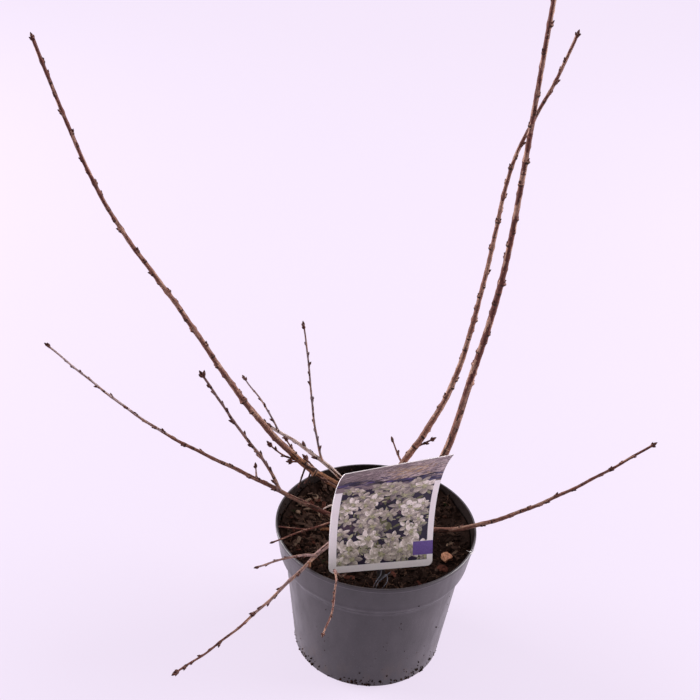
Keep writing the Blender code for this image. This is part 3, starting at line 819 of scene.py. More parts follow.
def build_stem(name):
    """One main stem with its side twigs, as a piece of bark and a piece of buds."""
    size = STEMS[name]
    stem = Stem(trunk_axis(size["height"]), size, seed=name)
    bark = Skin()
    buds = Skin()
    dice = random.Random(name + " lenticels")
    first = max(size["bough_end"], STUB_LENGTH) + GAP + 0.6 * stem.internode
    places = bud_places(stem, stem.nodes(first), size.get("bud_size", 1))
    places += more_buds(stem, places, size.get("rosette", 1), dice)
    seed = 10 * dice.random()
    barks = [BARKS.index(kind) for kind in size["barks"]]
    add_bark(bark, stem, 0.4 * STUB_LENGTH, STEM_SIDES, places, seed, barks,
             size.get("base_end", size["bough_end"]), size.get("twin", 0))
    add_lenticels(bark, stem, STUB_LENGTH, dice)
    for index, twig in enumerate(SIDE_TWIGS.get(name, ())):
        side = Stem(stem.at(twig["start"]), twig, seed=name + str(index))
        side_places = bud_places(side, side.nodes(0.7 * side.internode), twig.get("bud_size", 1))
        if twig["length"] > 3 * CM or "rosette" in twig:
            side_places += more_buds(side, side_places, twig.get("rosette", 1), dice)
        own = BARKS.index(twig.get("bark", size["barks"][2]))
        add_bark(bark, side, 0, TWIG_SIDES, side_places, seed + index + 1, (own, own, own), flare=0.8)
        add_lenticels(bark, side, 3 * MM, dice)
        places += side_places
    add_knobs(bark, places, dice)
    for _, _, foot, way, bud_size in places:
        add_bud(buds, foot, way, bud_size)
    nodes = ["twigs_" + name]
    if size["bough_end"]:
        nodes.append("bough_" + name)
    show_skin("bark_" + name, bark, BARKS, "shoots", nodes)
    show_skin("buds_" + name, buds, ("bud_scale", "bud_edge"), "shoots", crease=35)
    return stem


# -- trunk

def build_trunk(stems):
    """The stump: a flared, fissured foot whose stubs swell out of it to meet the stems."""
    skin = Skin()
    foot = SOIL_TOP - TRUNK_SUNK
    rings = []
    for i in range(TRUNK_LEVELS + 1):
        share = i / TRUNK_LEVELS
        height = foot + (TRUNK_TOP - foot) * share
        radius = TRUNK_FOOT_RADIUS + (TRUNK_TOP_RADIUS - TRUNK_FOOT_RADIUS) * share
        radius += TRUNK_FLARE * exp(-max(height - SOIL_TOP, 0) / TRUNK_FLARE_HEIGHT)
        ring = []
        for k in range(TRUNK_SIDES):
            angle = tau * k / TRUNK_SIDES
            lobed = radius * (1 + 0.10 * sin(4 * angle + 0.7) * (1 - share))
            ring.append(trunk_axis(height) + bearing(angle) * lobed)
        rings.append(ring)
    skin.loft(rings)
    for stem in stems.values():
        distances = [STUB_LENGTH * i / STUB_RINGS for i in range(STUB_RINGS + 1)]
        rings = []
        for i, (centre, _, across, beside) in enumerate(ring_frames(stem, distances)):
            radius = stem.radius(distances[i]) * (1.5 - 0.62 * (i / STUB_RINGS) ** 0.7)
            rings.append(ring_round(centre, across, beside, radius, STUB_SIDES))
        skin.loft(rings)
    rough_stump = place_object("stump", make_mesh("stump", skin, ("bark_old", "bark_fissure")))
    remesh = rough_stump.modifiers.new("remesh", "REMESH")
    remesh.mode = "VOXEL"
    remesh.voxel_size = TRUNK_VOXEL
    smooth = rough_stump.modifiers.new("smooth", "SMOOTH")
    smooth.iterations = 4
    mesh = evaluated(rough_stump)
    surface = [(vertex.co.copy(), vertex.normal.copy()) for vertex in mesh.vertices]
    depths = []
    for vertex, (place, normal) in zip(mesh.vertices, surface):
        upright = Vector((place.x, place.y, place.z * 0.3))
        ridge = 1 - 2.4 * abs(rough(upright, 1.6 * MM)) + 0.6 * rough(place, 0.9 * MM, 2)
        depths.append(ridge)
        vertex.co = place + normal * (0.28 * MM * ridge + 0.4 * MM * rough(place, 6 * MM, 4))
    for face in mesh.polygons:
        depth = sum(depths[v] for v in face.vertices) / len(face.vertices)
        face.material_index = 1 if depth < 0.12 else 0
    mesh.shade_smooth()
    show("bark_trunk", mesh, ["trunk"])


# -- pot

def pot_outside(height):
    """The outer radius of the pot below its lip."""
    if height < POT_STEP_FOOT:
        share = height / POT_STEP_FOOT
        return POT_BASE_RADIUS + (POT_BODY_RADIUS - POT_BASE_RADIUS) * share
    if height < POT_STEP_HEAD:
        share = (height - POT_STEP_FOOT) / (POT_STEP_HEAD - POT_STEP_FOOT)
        return POT_BODY_RADIUS + (POT_COLLAR_RADIUS - POT_BODY_RADIUS) * share
    share = (height - POT_STEP_HEAD) / (POT_HEIGHT - POT_STEP_HEAD)
    return POT_COLLAR_RADIUS + (POT_RIM_RADIUS - POT_LIP_OVERHANG - POT_COLLAR_RADIUS) * share


SOIL_EDGE = pot_outside(SOIL_TOP) - POT_WALL
ROUNDING = 0.9 * MM
ROUNDING_STEPS = 5
LONGEST_RUN = 3 * MM               # a longer one gets more points
EDGE_LOOP = 0.4 * MM               # the first and last of them, from its ends


def rounded(corners):
    """Rounds the inner corners of a profile of (radius, height) points, the step's most."""
    made = [corners[0]]
    for before, corner, after in zip(corners, corners[1:], corners[2:]):
        here = Vector(corner)
        back = Vector(before) - here
        on = Vector(after) - here
        wide = 3 * ROUNDING if corner[1] in (POT_STEP_FOOT, POT_STEP_HEAD) else ROUNDING
        cut = min(wide, 0.45 * back.length, 0.45 * on.length)
        start = here + back.normalized() * cut
        end = here + on.normalized() * cut
        for i in range(ROUNDING_STEPS + 1):
            share = i / ROUNDING_STEPS
            made.append(tuple(start.lerp(here, share).lerp(here.lerp(end, share), share)))
    made.append(corners[-1])
    return made


def supported(profile):
    """The profile with more points on its long runs, close to their ends and every few millimetres."""
    made = [profile[0]]
    for start, end in zip(profile, profile[1:]):
        reach = dist(start, end)
        if reach > LONGEST_RUN:
            count = ceil(reach / (2 * LONGEST_RUN))
            shares = [EDGE_LOOP / reach] + [i / count for i in range(1, count)] + [1 - EDGE_LOOP / reach]
            made.extend((start[0] + (end[0] - start[0]) * share, start[1] + (end[1] - start[1]) * share)
                        for share in shares)
        made.append(end)
    return made


def pot_point(radius, height, angle):
    """A point of the pot: moulded a little out of round, its rim slightly wavy."""
    share = (height / POT_HEIGHT) ** 2
    wide = radius * (1 + share * 0.0022 * cos(2 * angle + 0.6))
    lift = share * 0.12 * MM * sin(3 * angle + 1.0)
    return Vector((wide * cos(angle), wide * sin(angle), height + lift - share * 0.12 * MM))


def build_pot():
    """The pot, from one turned profile, with its drain holes cut through the floor."""
    lip = POT_RIM_RADIUS - POT_LIP_OVERHANG
    foot_ring = POT_BASE_RADIUS - POT_FOOT_RING
    outside = [(POT_CENTRE, POT_RECESS), (foot_ring - 1 * MM, POT_RECESS), (foot_ring, 0),
               (POT_BASE_RADIUS, 0), (POT_BODY_RADIUS, POT_STEP_FOOT),
               (POT_COLLAR_RADIUS, POT_STEP_HEAD), (lip, POT_HEIGHT - POT_LIP_HEIGHT - 0.6 * MM),
               (POT_RIM_RADIUS, POT_HEIGHT - POT_LIP_HEIGHT), (POT_RIM_RADIUS, POT_HEIGHT)]
    inside = [(pot_outside(height) - POT_WALL, height)
              for height in (POT_HEIGHT, POT_STEP_HEAD, POT_STEP_FOOT, POT_FLOOR)]
    profile = supported(rounded(outside + inside + [(POT_CENTRE, POT_FLOOR)]))
    top = max(range(len(profile)), key=lambda i: profile[i][1])
    skin = Skin()
    # The faces inside the pot, below its rim, take the near-black inside finish: painted shade.
    skin.loft([[pot_point(radius, height, tau * k / POT_SIDES) for k in range(POT_SIDES)]
               for radius, height in profile],
              lambda i, k: int(i > top and profile[i + 1][1] < POT_HEIGHT - GAP))
    drains = Skin()
    for i in range(DRAIN_COUNT):
        angle = tau * (i + 0.5) / DRAIN_COUNT
        centre = Vector((DRAIN_CIRCLE * cos(angle), DRAIN_CIRCLE * sin(angle), 0))
        drains.loft([[centre + point for point in flat_ring(DRAIN_RADIUS, height, DRAIN_SIDES)]
                     for height in (-POT_FLOOR, 3 * POT_FLOOR)])
    shell = make_mesh("pot_shell", skin, ("pot_plastic", "pot_inside"), crease=80)
    pot = place_object("pot_shell", shell)
    cutter = place_object("drains", make_mesh("drains", drains, ("pot_plastic",)))
    cut = pot.modifiers.new("cut", "BOOLEAN")
    cut.operation = "DIFFERENCE"
    cut.object = cutter
    mesh = evaluated(pot)
    bpy.data.objects.remove(cutter)
    mesh.set_sharp_from_angle(angle=radians(50))
    show("pot_wall", mesh, ["pot"])


# -- compost

def soil_height(x, y):
    """The source's compost surface, roughened, and banked up against the wall at the back."""
    reach = hypot(x, y)
    outer = max(0, reach - SOIL_LEVEL_RADIUS) / (SOIL_EDGE - SOIL_LEVEL_RADIUS)
    angle = atan2(y, x)
    wave = sum(sin(count * angle + start + 40 * reach) for count, start in SOIL_WAVES) / len(SOIL_WAVES)
    place = Vector((x, y, 0))
    lumps = 2.0 * MM * rough(place, 9 * MM) + 1.3 * MM * rough(place, 3.6 * MM, 1)
    lumps += 0.6 * MM * rough(place, 1.5 * MM, 2)
    banked = max(0, (reach - SOIL_BANK_FOOT) / (SOIL_EDGE - SOIL_BANK_FOOT)) ** 1.6
    bank = SOIL_BANK * banked * (0.5 + 0.5 * sin(angle)) * (1 + 0.35 * rough(place, 14 * MM, 3))
    return SOIL_TOP - SOIL_DIP * outer * (0.6 + 0.4 * wave) + bank + lumps * (1 - 0.5 * banked)


def on_soil(x, y, lift=0):
    return Vector((x, y, soil_height(x, y) + lift))


def build_compost():
    """The body of the compost, with a lumpy top out to the pot's wall."""
    skin = Skin()
    rings = [flat_ring(pot_outside(height) - POT_WALL - GAP, height, SOIL_SPOKES)
             for height in (POT_FLOOR + GAP, POT_STEP_FOOT)]
    for i in range(SOIL_RINGS):
        radius = SOIL_EDGE * (1 - i / SOIL_RINGS) + 0.1 * MM
        rings.append([on_soil(radius * c, radius * s) for c, s in turns(SOIL_SPOKES)])
    skin.loft(rings)
    show_skin("compost_body", skin, ("compost",), "compost", ["soil"], crease=180)


def lump_template(subdivisions):
    shape = bmesh.new()
    bmesh.ops.create_icosphere(shape, subdivisions=subdivisions, radius=1)
    points = [vertex.co.copy() for vertex in shape.verts]
    faces = [tuple(vertex.index for vertex in face.verts) for face in shape.faces]
    shape.free()
    return points, faces


def random_turn(dice):
    axis = Vector((dice.gauss(0, 1), dice.gauss(0, 1), dice.gauss(0, 1))).normalized()
    return Quaternion(axis, dice.uniform(0, tau))


def add_lump(skin, template, centre, size, turn, dice, finish=0, square=0):
    """A knobbly crumb; size is its three half widths. The squarer, the nearer to a block."""
    first = len(skin.points)
    points, faces = template
    seed = dice.uniform(0, 50)
    for point in points:
        knob = 1 + 0.45 * (1 - 0.5 * square) * noise.noise(point * 1.3 + Vector((seed, 0, 0)))
        knob /= max(abs(point.x), abs(point.y), abs(point.z)) ** square
        skin.points.append(centre + turn @ (Vector(size) * knob * point))
    for corners in faces:
        skin.face(tuple(first + c for c in corners), finish)


CHIP_SIDES = 10


def add_chip(skin, centre, length, width, thickness, turn, dice, finish=0):
    """A splinter of wood or bark: a flat, ragged, slightly bent slab."""
    outline = []
    for c, s in turns(CHIP_SIDES):
        square = 1 / max(abs(c), abs(s)) ** 0.8
        ragged = square * dice.uniform(0.82, 1.08)
        outline.append((0.5 * length * c * ragged, 0.5 * width * s * ragged))
    bend = dice.uniform(-0.12, 0.12) * length
    rings = []
    for level, share in ((-0.5, 0.78), (-0.25, 1.0), (0.25, 0.97), (0.5, 0.74)):
        ring = []
        for x, y in outline:
            sag = bend * (2 * x / length) ** 2
            lift = level * thickness * dice.uniform(0.85, 1.15) + sag
            ring.append(centre + turn @ Vector((x * share, y * share, lift)))
        rings.append(ring)
    skin.loft(rings, finish)


def add_strand(skin, points, radius, sides=5, finish=0):
    """A thin fibre along a few points, tapering at both ends."""
    count = 4 * (len(points) - 1)
    rings = []
    across = None
    lines = list(zip(*points))
    for i in range(count + 1):
        share = i / count
        place = Vector([spread(line, share) for line in lines])
        heading = Vector([spread(line, min(share + 0.02, 1)) - spread(line, max(share - 0.02, 0))
                          for line in lines]).normalized()
        across = heading.orthogonal().normalized() if across is None else (
            across - heading * across.dot(heading)).normalized()
        beside = heading.cross(across)
        thick = radius * (0.35 + 0.65 * sin(pi * between(share, 0.04, 0.96)))
        rings.append(ring_round(place, across, beside, thick, sides))
    skin.loft(rings, finish)


def soil_spot(dice, inner=1.0 * CM):
    """A random place on the compost, clear of the trunk and the wall."""
    outer = SOIL_EDGE - 2 * MM
    while True:
        x = dice.uniform(-outer, outer)
        y = dice.uniform(-outer, outer)
        if inner < hypot(x, y) < outer:
            return x, y


CRUMBS = 1700
WALL_CRUMBS = 150
CHIPS = 560
FIBRES = 420
MOSS_TUFTS = 14
TUFT_BLADES = 14
# Each kind of chip and its share.
CHIP_KINDS = (("chip_brown", 0.5), ("chip_olive", 0.03), ("chip_red", 0.12), ("crumb_dark", 0.35))
# Place across and away in centimetres; length, width and thickness in millimetres; turn; finish.
CHOSEN_CHIPS = (
    (-5.2, 4.3, 9.0, 5.0, 1.6, 125, "chip_olive"),
    (-6.1, 3.3, 13.0, 2.6, 1.4, 35, "chip_olive"),
    (-5.7, 2.7, 9.0, 2.2, 1.2, 15, "chip_olive"),
    (-4.8, 2.6, 13.0, 1.6, 1.2, 100, "chip_olive"),
    (-3.9, 0.5, 13.0, 3.6, 1.8, 12, "chip_rust"),
    (-6.5, 1.9, 4.5, 3.6, 1.8, 20, "chip_olive"),
    (-5.0, -0.9, 12.0, 3.0, 1.4, 35, "chip_brown"),
    (5.5, -3.6, 9.0, 6.0, 1.4, -20, "chip_red"),
    (-1.9, -5.4, 9.0, 4.5, 1.5, 5, "chip_red"),
    (6.3, 0.6, 7.0, 3.0, 1.2, -30, "chip_brown"),
)
BLOCK = ((5.8, -2.35), (3.4, 3.6, 3.3), 38)    # the amber block: as above, with half widths
DARKER_SIDE = 3 * CM               # the compost's bits are darker to the right of this
PAINTED_SHADE_FRONT = -4.2 * CM           # and in front of this, as painted shade from the pot's front wall
DARKER_SHARE = 0.65                # of the chips there
# A loose twig, by points in centimetres.
LOOSE_TWIG = ((-3.2, 3.6, 10.95), (-3.9, 3.2, 11.15), (-4.5, 2.7, 11.05))


# The compost's bits are darker at its right side; at its front the darkness is painted shade.
def in_darker_part(x, y):
    return x > DARKER_SIDE or y < PAINTED_SHADE_FRONT


def build_crumbs(dice):
    """Crumbs over the compost, and some that cling to the inside of the wall."""
    large = lump_template(2)
    small = lump_template(1)
    crumbs = Skin()
    for _ in range(CRUMBS):
        x, y = soil_spot(dice)
        size = dice.choice((0.4, 0.5, 0.7, 0.9, 1.2, 1.6)) * MM * dice.uniform(0.8, 1.3)
        half = (size * dice.uniform(0.8, 1.3), size * dice.uniform(0.7, 1.1), size * dice.uniform(0.5, 0.9))
        # Fewer brown crumbs where the compost is darker; at the front that is painted shade.
        add_lump(crumbs, large if size > 1.1 * MM else small, on_soil(x, y, 0.3 * size), half,
                 random_turn(dice), dice, int(dice.random() < (0.12 if in_darker_part(x, y) else 0.4)))
    for _ in range(WALL_CRUMBS):
        angle = dice.gauss(radians(150), 0.8)
        height = POT_HEIGHT - 3 * MM - abs(dice.gauss(0, 9)) * MM
        size = dice.uniform(0.3, 1.1) * MM
        reach = pot_outside(height) - POT_WALL - 0.3 * size
        centre = Vector((reach * cos(angle), reach * sin(angle), height))
        add_lump(crumbs, small, centre, (size, size, size), random_turn(dice), dice, int(dice.random() < 0.3))
    show_skin("compost_crumbs", crumbs, ("crumb_dark", "crumb_brown"), "compost")


def build_chips(dice):
    """Bark chips strewn at random, the chosen ones, and the amber block."""
    kinds = [kind for kind, _ in CHIP_KINDS]
    weights = [weight for _, weight in CHIP_KINDS]
    finishes = kinds + ["chip_amber", "chip_rust"]
    chips = Skin()
    for _ in range(CHIPS):
        x, y = soil_spot(dice)
        length = dice.uniform(3, 13) * MM
        width = min(length * dice.uniform(0.2, 0.5), 4 * MM)
        thickness = dice.uniform(0.5, 1.2) * MM
        tilt = Quaternion((dice.gauss(0, 1), dice.gauss(0, 1), 0), radians(dice.uniform(0, 38)))
        turn = tilt @ Quaternion(UP, dice.uniform(0, tau))
        kind = finishes.index(dice.choices(kinds, weights)[0])
        # Most chips turn dark there; at the front that is painted shade.
        if in_darker_part(x, y) and dice.random() < DARKER_SHARE:
            kind = finishes.index("crumb_dark")
        centre = on_soil(x, y, dice.uniform(0.2, 1.1) * MM)
        add_chip(chips, centre, length, width, thickness, turn, dice, kind)
    for x, y, length, width, thickness, degrees, kind in CHOSEN_CHIPS:
        turn = Quaternion((1, 0.4, 0), radians(12)) @ Quaternion(UP, radians(degrees))
        centre = on_soil(x * CM, y * CM, 1.1 * thickness * MM)
        add_chip(chips, centre, length * MM, width * MM, thickness * MM, turn, dice, finishes.index(kind))
    (x, y), half, degrees = BLOCK
    turn = Quaternion((1, 0.3, 0), radians(14)) @ Quaternion(UP, radians(degrees))
    add_lump(chips, lump_template(4), on_soil(x * CM, y * CM, half[2] * MM), [h * MM for h in half],
             turn, dice, finishes.index("chip_amber"), 0.95)
    show_skin("compost_chips", chips, finishes, "compost", crease=35)


def build_fibres(dice):
    """Fine roots and fibres, and the loose twig."""
    wall = SOIL_EDGE - 1 * MM
    fibres = Skin()
    for _ in range(FIBRES):
        x, y = soil_spot(dice, 1.6 * CM)
        angle = dice.uniform(0, tau)
        reach = dice.uniform(3, 9) * MM
        points = []
        for _ in range(4):
            angle += dice.uniform(-0.6, 0.6)
            if hypot(x, y) > wall:
                x *= wall / hypot(x, y)
                y *= wall / hypot(x, y)
            points.append((x, y, soil_height(x, y) + dice.uniform(0.4, 2.2) * MM))
            x += reach * 0.4 * cos(angle)
            y += reach * 0.4 * sin(angle)
        add_strand(fibres, points, dice.uniform(0.12, 0.4) * MM, finish=int(dice.random() < 0.6))
    twig = [(x * CM, y * CM, z * CM) for x, y, z in LOOSE_TWIG]
    add_strand(fibres, twig, 0.8 * MM, 8, 2)
    show_skin("compost_fibres", fibres, ("fibre", "crumb_brown", "bark_pale"), "compost")


def build_moss(dice):
    moss = Skin()
    for _ in range(MOSS_TUFTS):
        x, y = soil_spot(dice, 3.5 * CM)
        for _ in range(TUFT_BLADES):
            bx = x + dice.gauss(0, 1.0) * MM
            by = y + dice.gauss(0, 1.0) * MM
            base = soil_height(bx, by)
            tip = (bx + dice.gauss(0, 0.8) * MM, by + dice.gauss(0, 0.8) * MM,
                   base + dice.uniform(0.8, 2.2) * MM)
            middle = ((bx + tip[0]) / 2, (by + tip[1]) / 2, base + 0.8 * MM)
            add_strand(moss, [(bx, by, base), middle, tip], 0.16 * MM, 4)
    show_skin("compost_moss", moss, ("moss",), "compost")


def build_bits():
    """What lies on the compost, each kind a piece."""
    dice = random.Random("compost bits")
    for build in (build_crumbs, build_chips, build_fibres, build_moss):
        build(dice)


# Compost that clings to the pot: azimuth, height in centimetres and size in millimetres.
POT_SPECKS = ((-62.1, 9.71, 0.8), (-36.0, 5.01, 0.8), (-77.7, 5.42, 0.6), (-96.9, 0.67, 1.1),
              (-86.4, 0.83, 0.9), (-69.9, 0.6, 1.2), (-46.7, 0.75, 1.3), (-150.5, 0.32, 1.6),
              (-138.6, 0.39, 1.2), (-94.9, 1.6, 0.5), (-60.0, 1.3, 0.6), (-100.0, 0.3, 1.5),
              (-92.0, 0.3, 1.2), (-56.0, 0.3, 1.4))
# Heaps of it at the pot's foot: azimuth and number.
FOOT_HEAPS = ((-145, 12), (-98, 18), (-86, 8), (-45, 20), (-62, 8), (25, 14), (140, 12), (85, 8))
FOOT_CRUMBS = 170
WALL_SPECKS = 150
RIM_FLUFF = (-22.2, 3)             # azimuth and number of strands
# Dark hairs that stand over the rim at the front, by points in centimetres.
HAIRS = (((0.1, -7.85, 12.0), (0.3, -7.6, 12.5), (0.75, -7.3, 12.8), (1.2, -7.0, 13.1)),
         ((0.6, -7.85, 12.1), (0.95, -7.6, 12.6), (0.85, -7.3, 13.0), (0.5, -7.3, 12.7)),
         ((-0.1, -7.85, 12.1), (0.1, -7.7, 12.6), (0.4, -7.4, 13.0), (0.45, -7.2, 13.4)))


def build_clinging_bits():
    """Specks of compost on the pot's wall and foot, and fluff and hairs caught on its rim."""
    dice = random.Random("clinging bits")
    template = lump_template(1)
    specks = Skin()
    places = [(azimuth, height * CM, size * MM) for azimuth, height, size in POT_SPECKS]
    for heap, count in FOOT_HEAPS:
        for _ in range(count):
            places.append((dice.gauss(heap, 7), abs(dice.gauss(0, 4.5)) * MM + 0.3 * MM,
                           dice.uniform(0.3, 1.5) * MM))
    for _ in range(FOOT_CRUMBS):
        places.append((dice.uniform(0, 360), abs(dice.gauss(0, 7)) * MM + 0.3 * MM,
                       dice.uniform(0.25, 0.8) * MM))
    for _ in range(WALL_SPECKS):
        places.append((dice.uniform(0, 360), dice.triangular(0.4, 11.5, 1.5) * CM,
                       dice.uniform(0.15, 0.5) * MM))
    for azimuth, height, size in places:
        out = bearing(radians(azimuth))
        centre = out * (pot_outside(height) + 0.15 * size) + UP * max(height, 1.5 * size)
        half = [size * dice.uniform(0.45, 1.2) for _ in range(3)]
        add_lump(specks, template, centre, half, random_turn(dice), dice, int(dice.random() < 0.4))
    show_skin("pot_specks", specks, ("crumb_dark", "crumb_brown"), "compost")

    fluff = Skin()
    azimuth, count = RIM_FLUFF
    root = bearing(radians(azimuth)) * (POT_RIM_RADIUS - 1.0 * MM) + UP * POT_HEIGHT
    for _ in range(count):
        points = [root + Vector((dice.gauss(0, 0.6), dice.gauss(0, 0.6), 0)) * MM]
        for _ in range(3):
            step = Vector((dice.gauss(0, 1.1), dice.gauss(0, 1.1), dice.uniform(-0.2, 0.7)))
            points.append(points[-1] + step * MM)
        add_strand(fluff, points, 0.2 * MM, 5)
    for hair in HAIRS:
        add_strand(fluff, [Vector(point) * CM for point in hair], 0.36 * MM, 6, 1)
    show_skin("pot_fluff", fluff, ("pale_fluff", "hair_film"), "compost")


# -- plant label

def on_label(across, up, out):
    """A point of the curled card: across and up it from its foot's middle, and out of its face."""
    turn = (Matrix.Rotation(radians(LABEL_YAW), 3, "Z")
            @ Matrix.Rotation(radians(LABEL_LEAN), 3, "X")
            @ Matrix.Rotation(radians(LABEL_ROLL), 3, "Y"))
    skew = radians(LABEL_SKEW)
    level = across * cos(skew) - up * sin(skew)
    along = across * sin(skew) + up * cos(skew)
    bend = max(along, 0) / LABEL_CURL_RADIUS
    if along > 0:
        rise = LABEL_CURL_RADIUS * sin(bend)
        forward = LABEL_CURL_RADIUS * (1 - cos(bend))
    else:
        rise = along
        forward = 0
    rise -= out * sin(bend)
    forward += out * cos(bend)
    return LABEL_FOOT + turn @ Vector((level, -forward, rise))


def add_sheet(skin, columns, back=0):
    """A closed thin sheet; each column lists its points as (across, up, half thickness)."""
    rows = len(columns[0])
    firsts = []
    for side in (1, -1):
        firsts.append(len(skin.points))
        for column in columns:
            skin.points.extend(on_label(across, up, side * half) for across, up, half in column)
    for first, finish in zip(firsts, (0, back)):
        for c in range(len(columns) - 1):
            for r in range(rows - 1):
                corner = first + c * rows + r
                skin.face((corner, corner + 1, corner + rows + 1, corner + rows), finish)
    last = len(columns) - 1
    edge = ([(0, r) for r in range(rows)] + [(c, rows - 1) for c in range(1, last + 1)]
            + [(last, r) for r in range(rows - 2, -1, -1)] + [(c, 0) for c in range(last - 1, 0, -1)])
    for (c, r), (d, s) in zip(edge, edge[1:] + edge[:1]):
        skin.face((firsts[0] + c * rows + r, firsts[0] + d * rows + s,
                   firsts[1] + d * rows + s, firsts[1] + c * rows + r))


def card_foot(across, half_width):
    """How far up the card starts at a place across it, where its corners are rounded."""
    inset = max(0, LABEL_CORNER - (half_width - abs(across)))
    return LABEL_CORNER - sqrt(LABEL_CORNER ** 2 - inset ** 2)


def build_card():
    """The white card with its rounded lower corners, and the spike that holds it up."""
    half_width = 0.5 * LABEL_WIDTH
    corner = [LABEL_CORNER * (1 - cos(0.5 * pi * i / CORNER_STEPS)) for i in range(CORNER_STEPS + 1)]
    inner = half_width - LABEL_CORNER
    middle = [inner * (2 * i / LABEL_COLUMNS - 1) for i in range(1, LABEL_COLUMNS)]
    places = [c - half_width for c in corner] + middle + [half_width - c for c in reversed(corner)]
    columns = []
    for across in places:
        low = card_foot(across, half_width)
        columns.append([(across, low + (LABEL_LENGTH - low) * i / LABEL_ROWS, 0.5 * LABEL_THICKNESS)
                        for i in range(LABEL_ROWS + 1)])
    card = Skin()
    # Its back faces take the greyed back finish, painted shade on the white card.
    add_sheet(card, columns, 1)
    show_skin("label_sheet", card, ("label_card", "label_back"), "label_card", ["label"])
    spike = Skin()
    columns = []
    for i in range(SPIKE_STEPS + 1):
        side = 2 * i / SPIKE_STEPS - 1
        column = [(side * SPIKE_TOP_HALF, SPIKE_OVERLAP, 0.3 * LABEL_THICKNESS),
                  (side * SPIKE_TOP_HALF, 0, 0.3 * LABEL_THICKNESS)]
        for step in range(1, SPIKE_STEPS + 1):
            share = step / SPIKE_STEPS
            half = SPIKE_TOP_HALF + (SPIKE_TIP_HALF - SPIKE_TOP_HALF) * share
            rib = 0.5 * SPIKE_THICKNESS * (0.6 if 0.3 < abs(side) < 0.8 else 1)
            column.append((side * half, -SPIKE_LENGTH * share, rib))
        columns.append(column)
    add_sheet(spike, columns)
    show_skin("label_spike", spike, ("spike_plastic",), "label_card")


class Print:
    """The card's printing: shapes laid one over another, each above those it overlaps."""

    def __init__(self, inks):
        self.skin = Skin()
        self.inks = list(inks)
        self.marks = []

    def shape(self, centre, reach, place, columns, rows, ink):
        """A patch; place turns (s, t), from 0 to 1 each, into a point across and up the card.
        ink is a name, or gives one for a column and a row."""
        x, y = centre
        level = 1 + max((top for a, b, far, top in self.marks if hypot(a - x, b - y) < far + reach),
                        default=0)
        self.marks.append((x, y, reach, level))
        height = 0.5 * LABEL_THICKNESS + 0.01 * MM + level * INK
        first = len(self.skin.points)
        for c in range(columns + 1):
            for r in range(rows + 1):
                self.skin.points.append(on_label(*place(c / columns, r / rows), height))
        for c in range(columns):
            for r in range(rows):
                corner = first + c * (rows + 1) + r
                name = ink(c, r) if callable(ink) else ink
                self.skin.face((corner, corner + rows + 1, corner + rows + 2, corner + 1),
                               self.inks.index(name))

    def area(self, left, right, bottom, top, ink):
        self.shape((0.5 * (left + right), 0.5 * (bottom + top)), 0.5 * hypot(right - left, top - bottom),
                   lambda s, t: (left + (right - left) * s, bottom + (top - bottom) * t),
                   max(round((right - left) / (2 * MM)), 1), max(round((top - bottom) / (2 * MM)), 1), ink)

    def blade(self, x, y, angle, length, width, ink, fullness=0.8, columns=2, rows=6):
        """A leaf or petal from (x, y) in a direction; the fuller, the nearer its tip it is widest."""
        c = cos(angle)
        s = sin(angle)

        def place(side, along):
            half = 0.5 * width * sin(pi * min(along ** fullness, 1)) ** 0.8 + 0.001 * MM
            reach = length * along
            off = (2 * side - 1) * half
            across = x + c * reach - s * off
            return between(across, PICTURE[0], PICTURE[1]), y + s * reach + c * off
        self.shape((x + 0.5 * c * length, y + 0.5 * s * length), 0.5 * length, place, columns, rows, ink)

    def blot(self, x, y, radius, stretch, ink, dice):
        """An irregular rounded patch."""
        waves = [(n, dice.uniform(0, 6.3), dice.uniform(0.03, 0.14)) for n in (2, 3, 5)]

        def place(turn, along):
            angle = tau * turn
            wobble = 1 + sum(a * sin(n * angle + p) for n, p, a in waves)
            reach = radius * (0.02 + 0.98 * along) * wobble
            return x + stretch * reach * cos(angle), y + reach * sin(angle)
        self.shape((x, y), 1.1 * radius * max(stretch, 1), place, 16, 3, ink)


# The tones of a petal from its dark side to its light one, for a blossom in front and one behind.
FRONT_TONES = ("ink_shade", "ink_mist", "ink_cream", "ink_warm", "ink_petal")
BACK_TONES = ("ink_slate", "ink_shade", "ink_sage", "ink_mist", "ink_cream")
# Each layer of flowers: how many are tried, their least and greatest radius in millimetres, tones.
FLOWERS = ((36, 7, 10, BACK_TONES), (56, 6, 11, FRONT_TONES))
PETALS = 6
DARK_BLOTS = 60
LEAVES = 90
LEAVES_OVER = 30                   # strewn over each layer of flowers
BAND_RIPPLES = 1100
STRIP_RIPPLES = 150
STRIP_HEIGHT = 9.3 * CM
STRIP_TILT = 0.09                  # it is higher at the card's left


def draw_flower(sheet, x, y, radius, tones, dice):
    """A plain starry flower: six petals, shaded towards one side and greenish at the middle."""
    turn = dice.uniform(0, tau)
    squash = dice.uniform(0.6, 1.0)
    shone = dice.uniform(1.2, 3.6)
    for k in range(PETALS):
        angle = turn + tau * k / PETALS + dice.uniform(-0.2, 0.2)
        length = radius * dice.uniform(0.8, 1.2) * (squash if k % 3 == 0 else 1)
        light = shone + dice.uniform(-0.8, 0.8) + 0.8 * sin(angle)

        def ink(column, row, light=light):
            if row == 0 or (row == 1 and dice.random() < 0.6):
                return dice.choice(("ink_lime", "ink_leaf", "ink_sage"))
            tone = light + 0.5 * (column - 1.5) + 0.22 * (row - 3) + dice.uniform(-0.7, 0.7)
            return tones[between(round(tone), 0, 4)]
        sheet.blade(x, y, angle, length, dice.uniform(0.42, 0.62) * radius, ink, 1.1, 4, 7)
    sheet.blot(x, y, 0.13 * radius, 1, "ink_lime", dice)
    for k in range(4):
        angle = turn + tau * k / 4
        sheet.blot(x + 0.22 * radius * cos(angle), y + 0.22 * radius * sin(angle),
                   0.045 * radius, 1, "ink_leaf", dice)


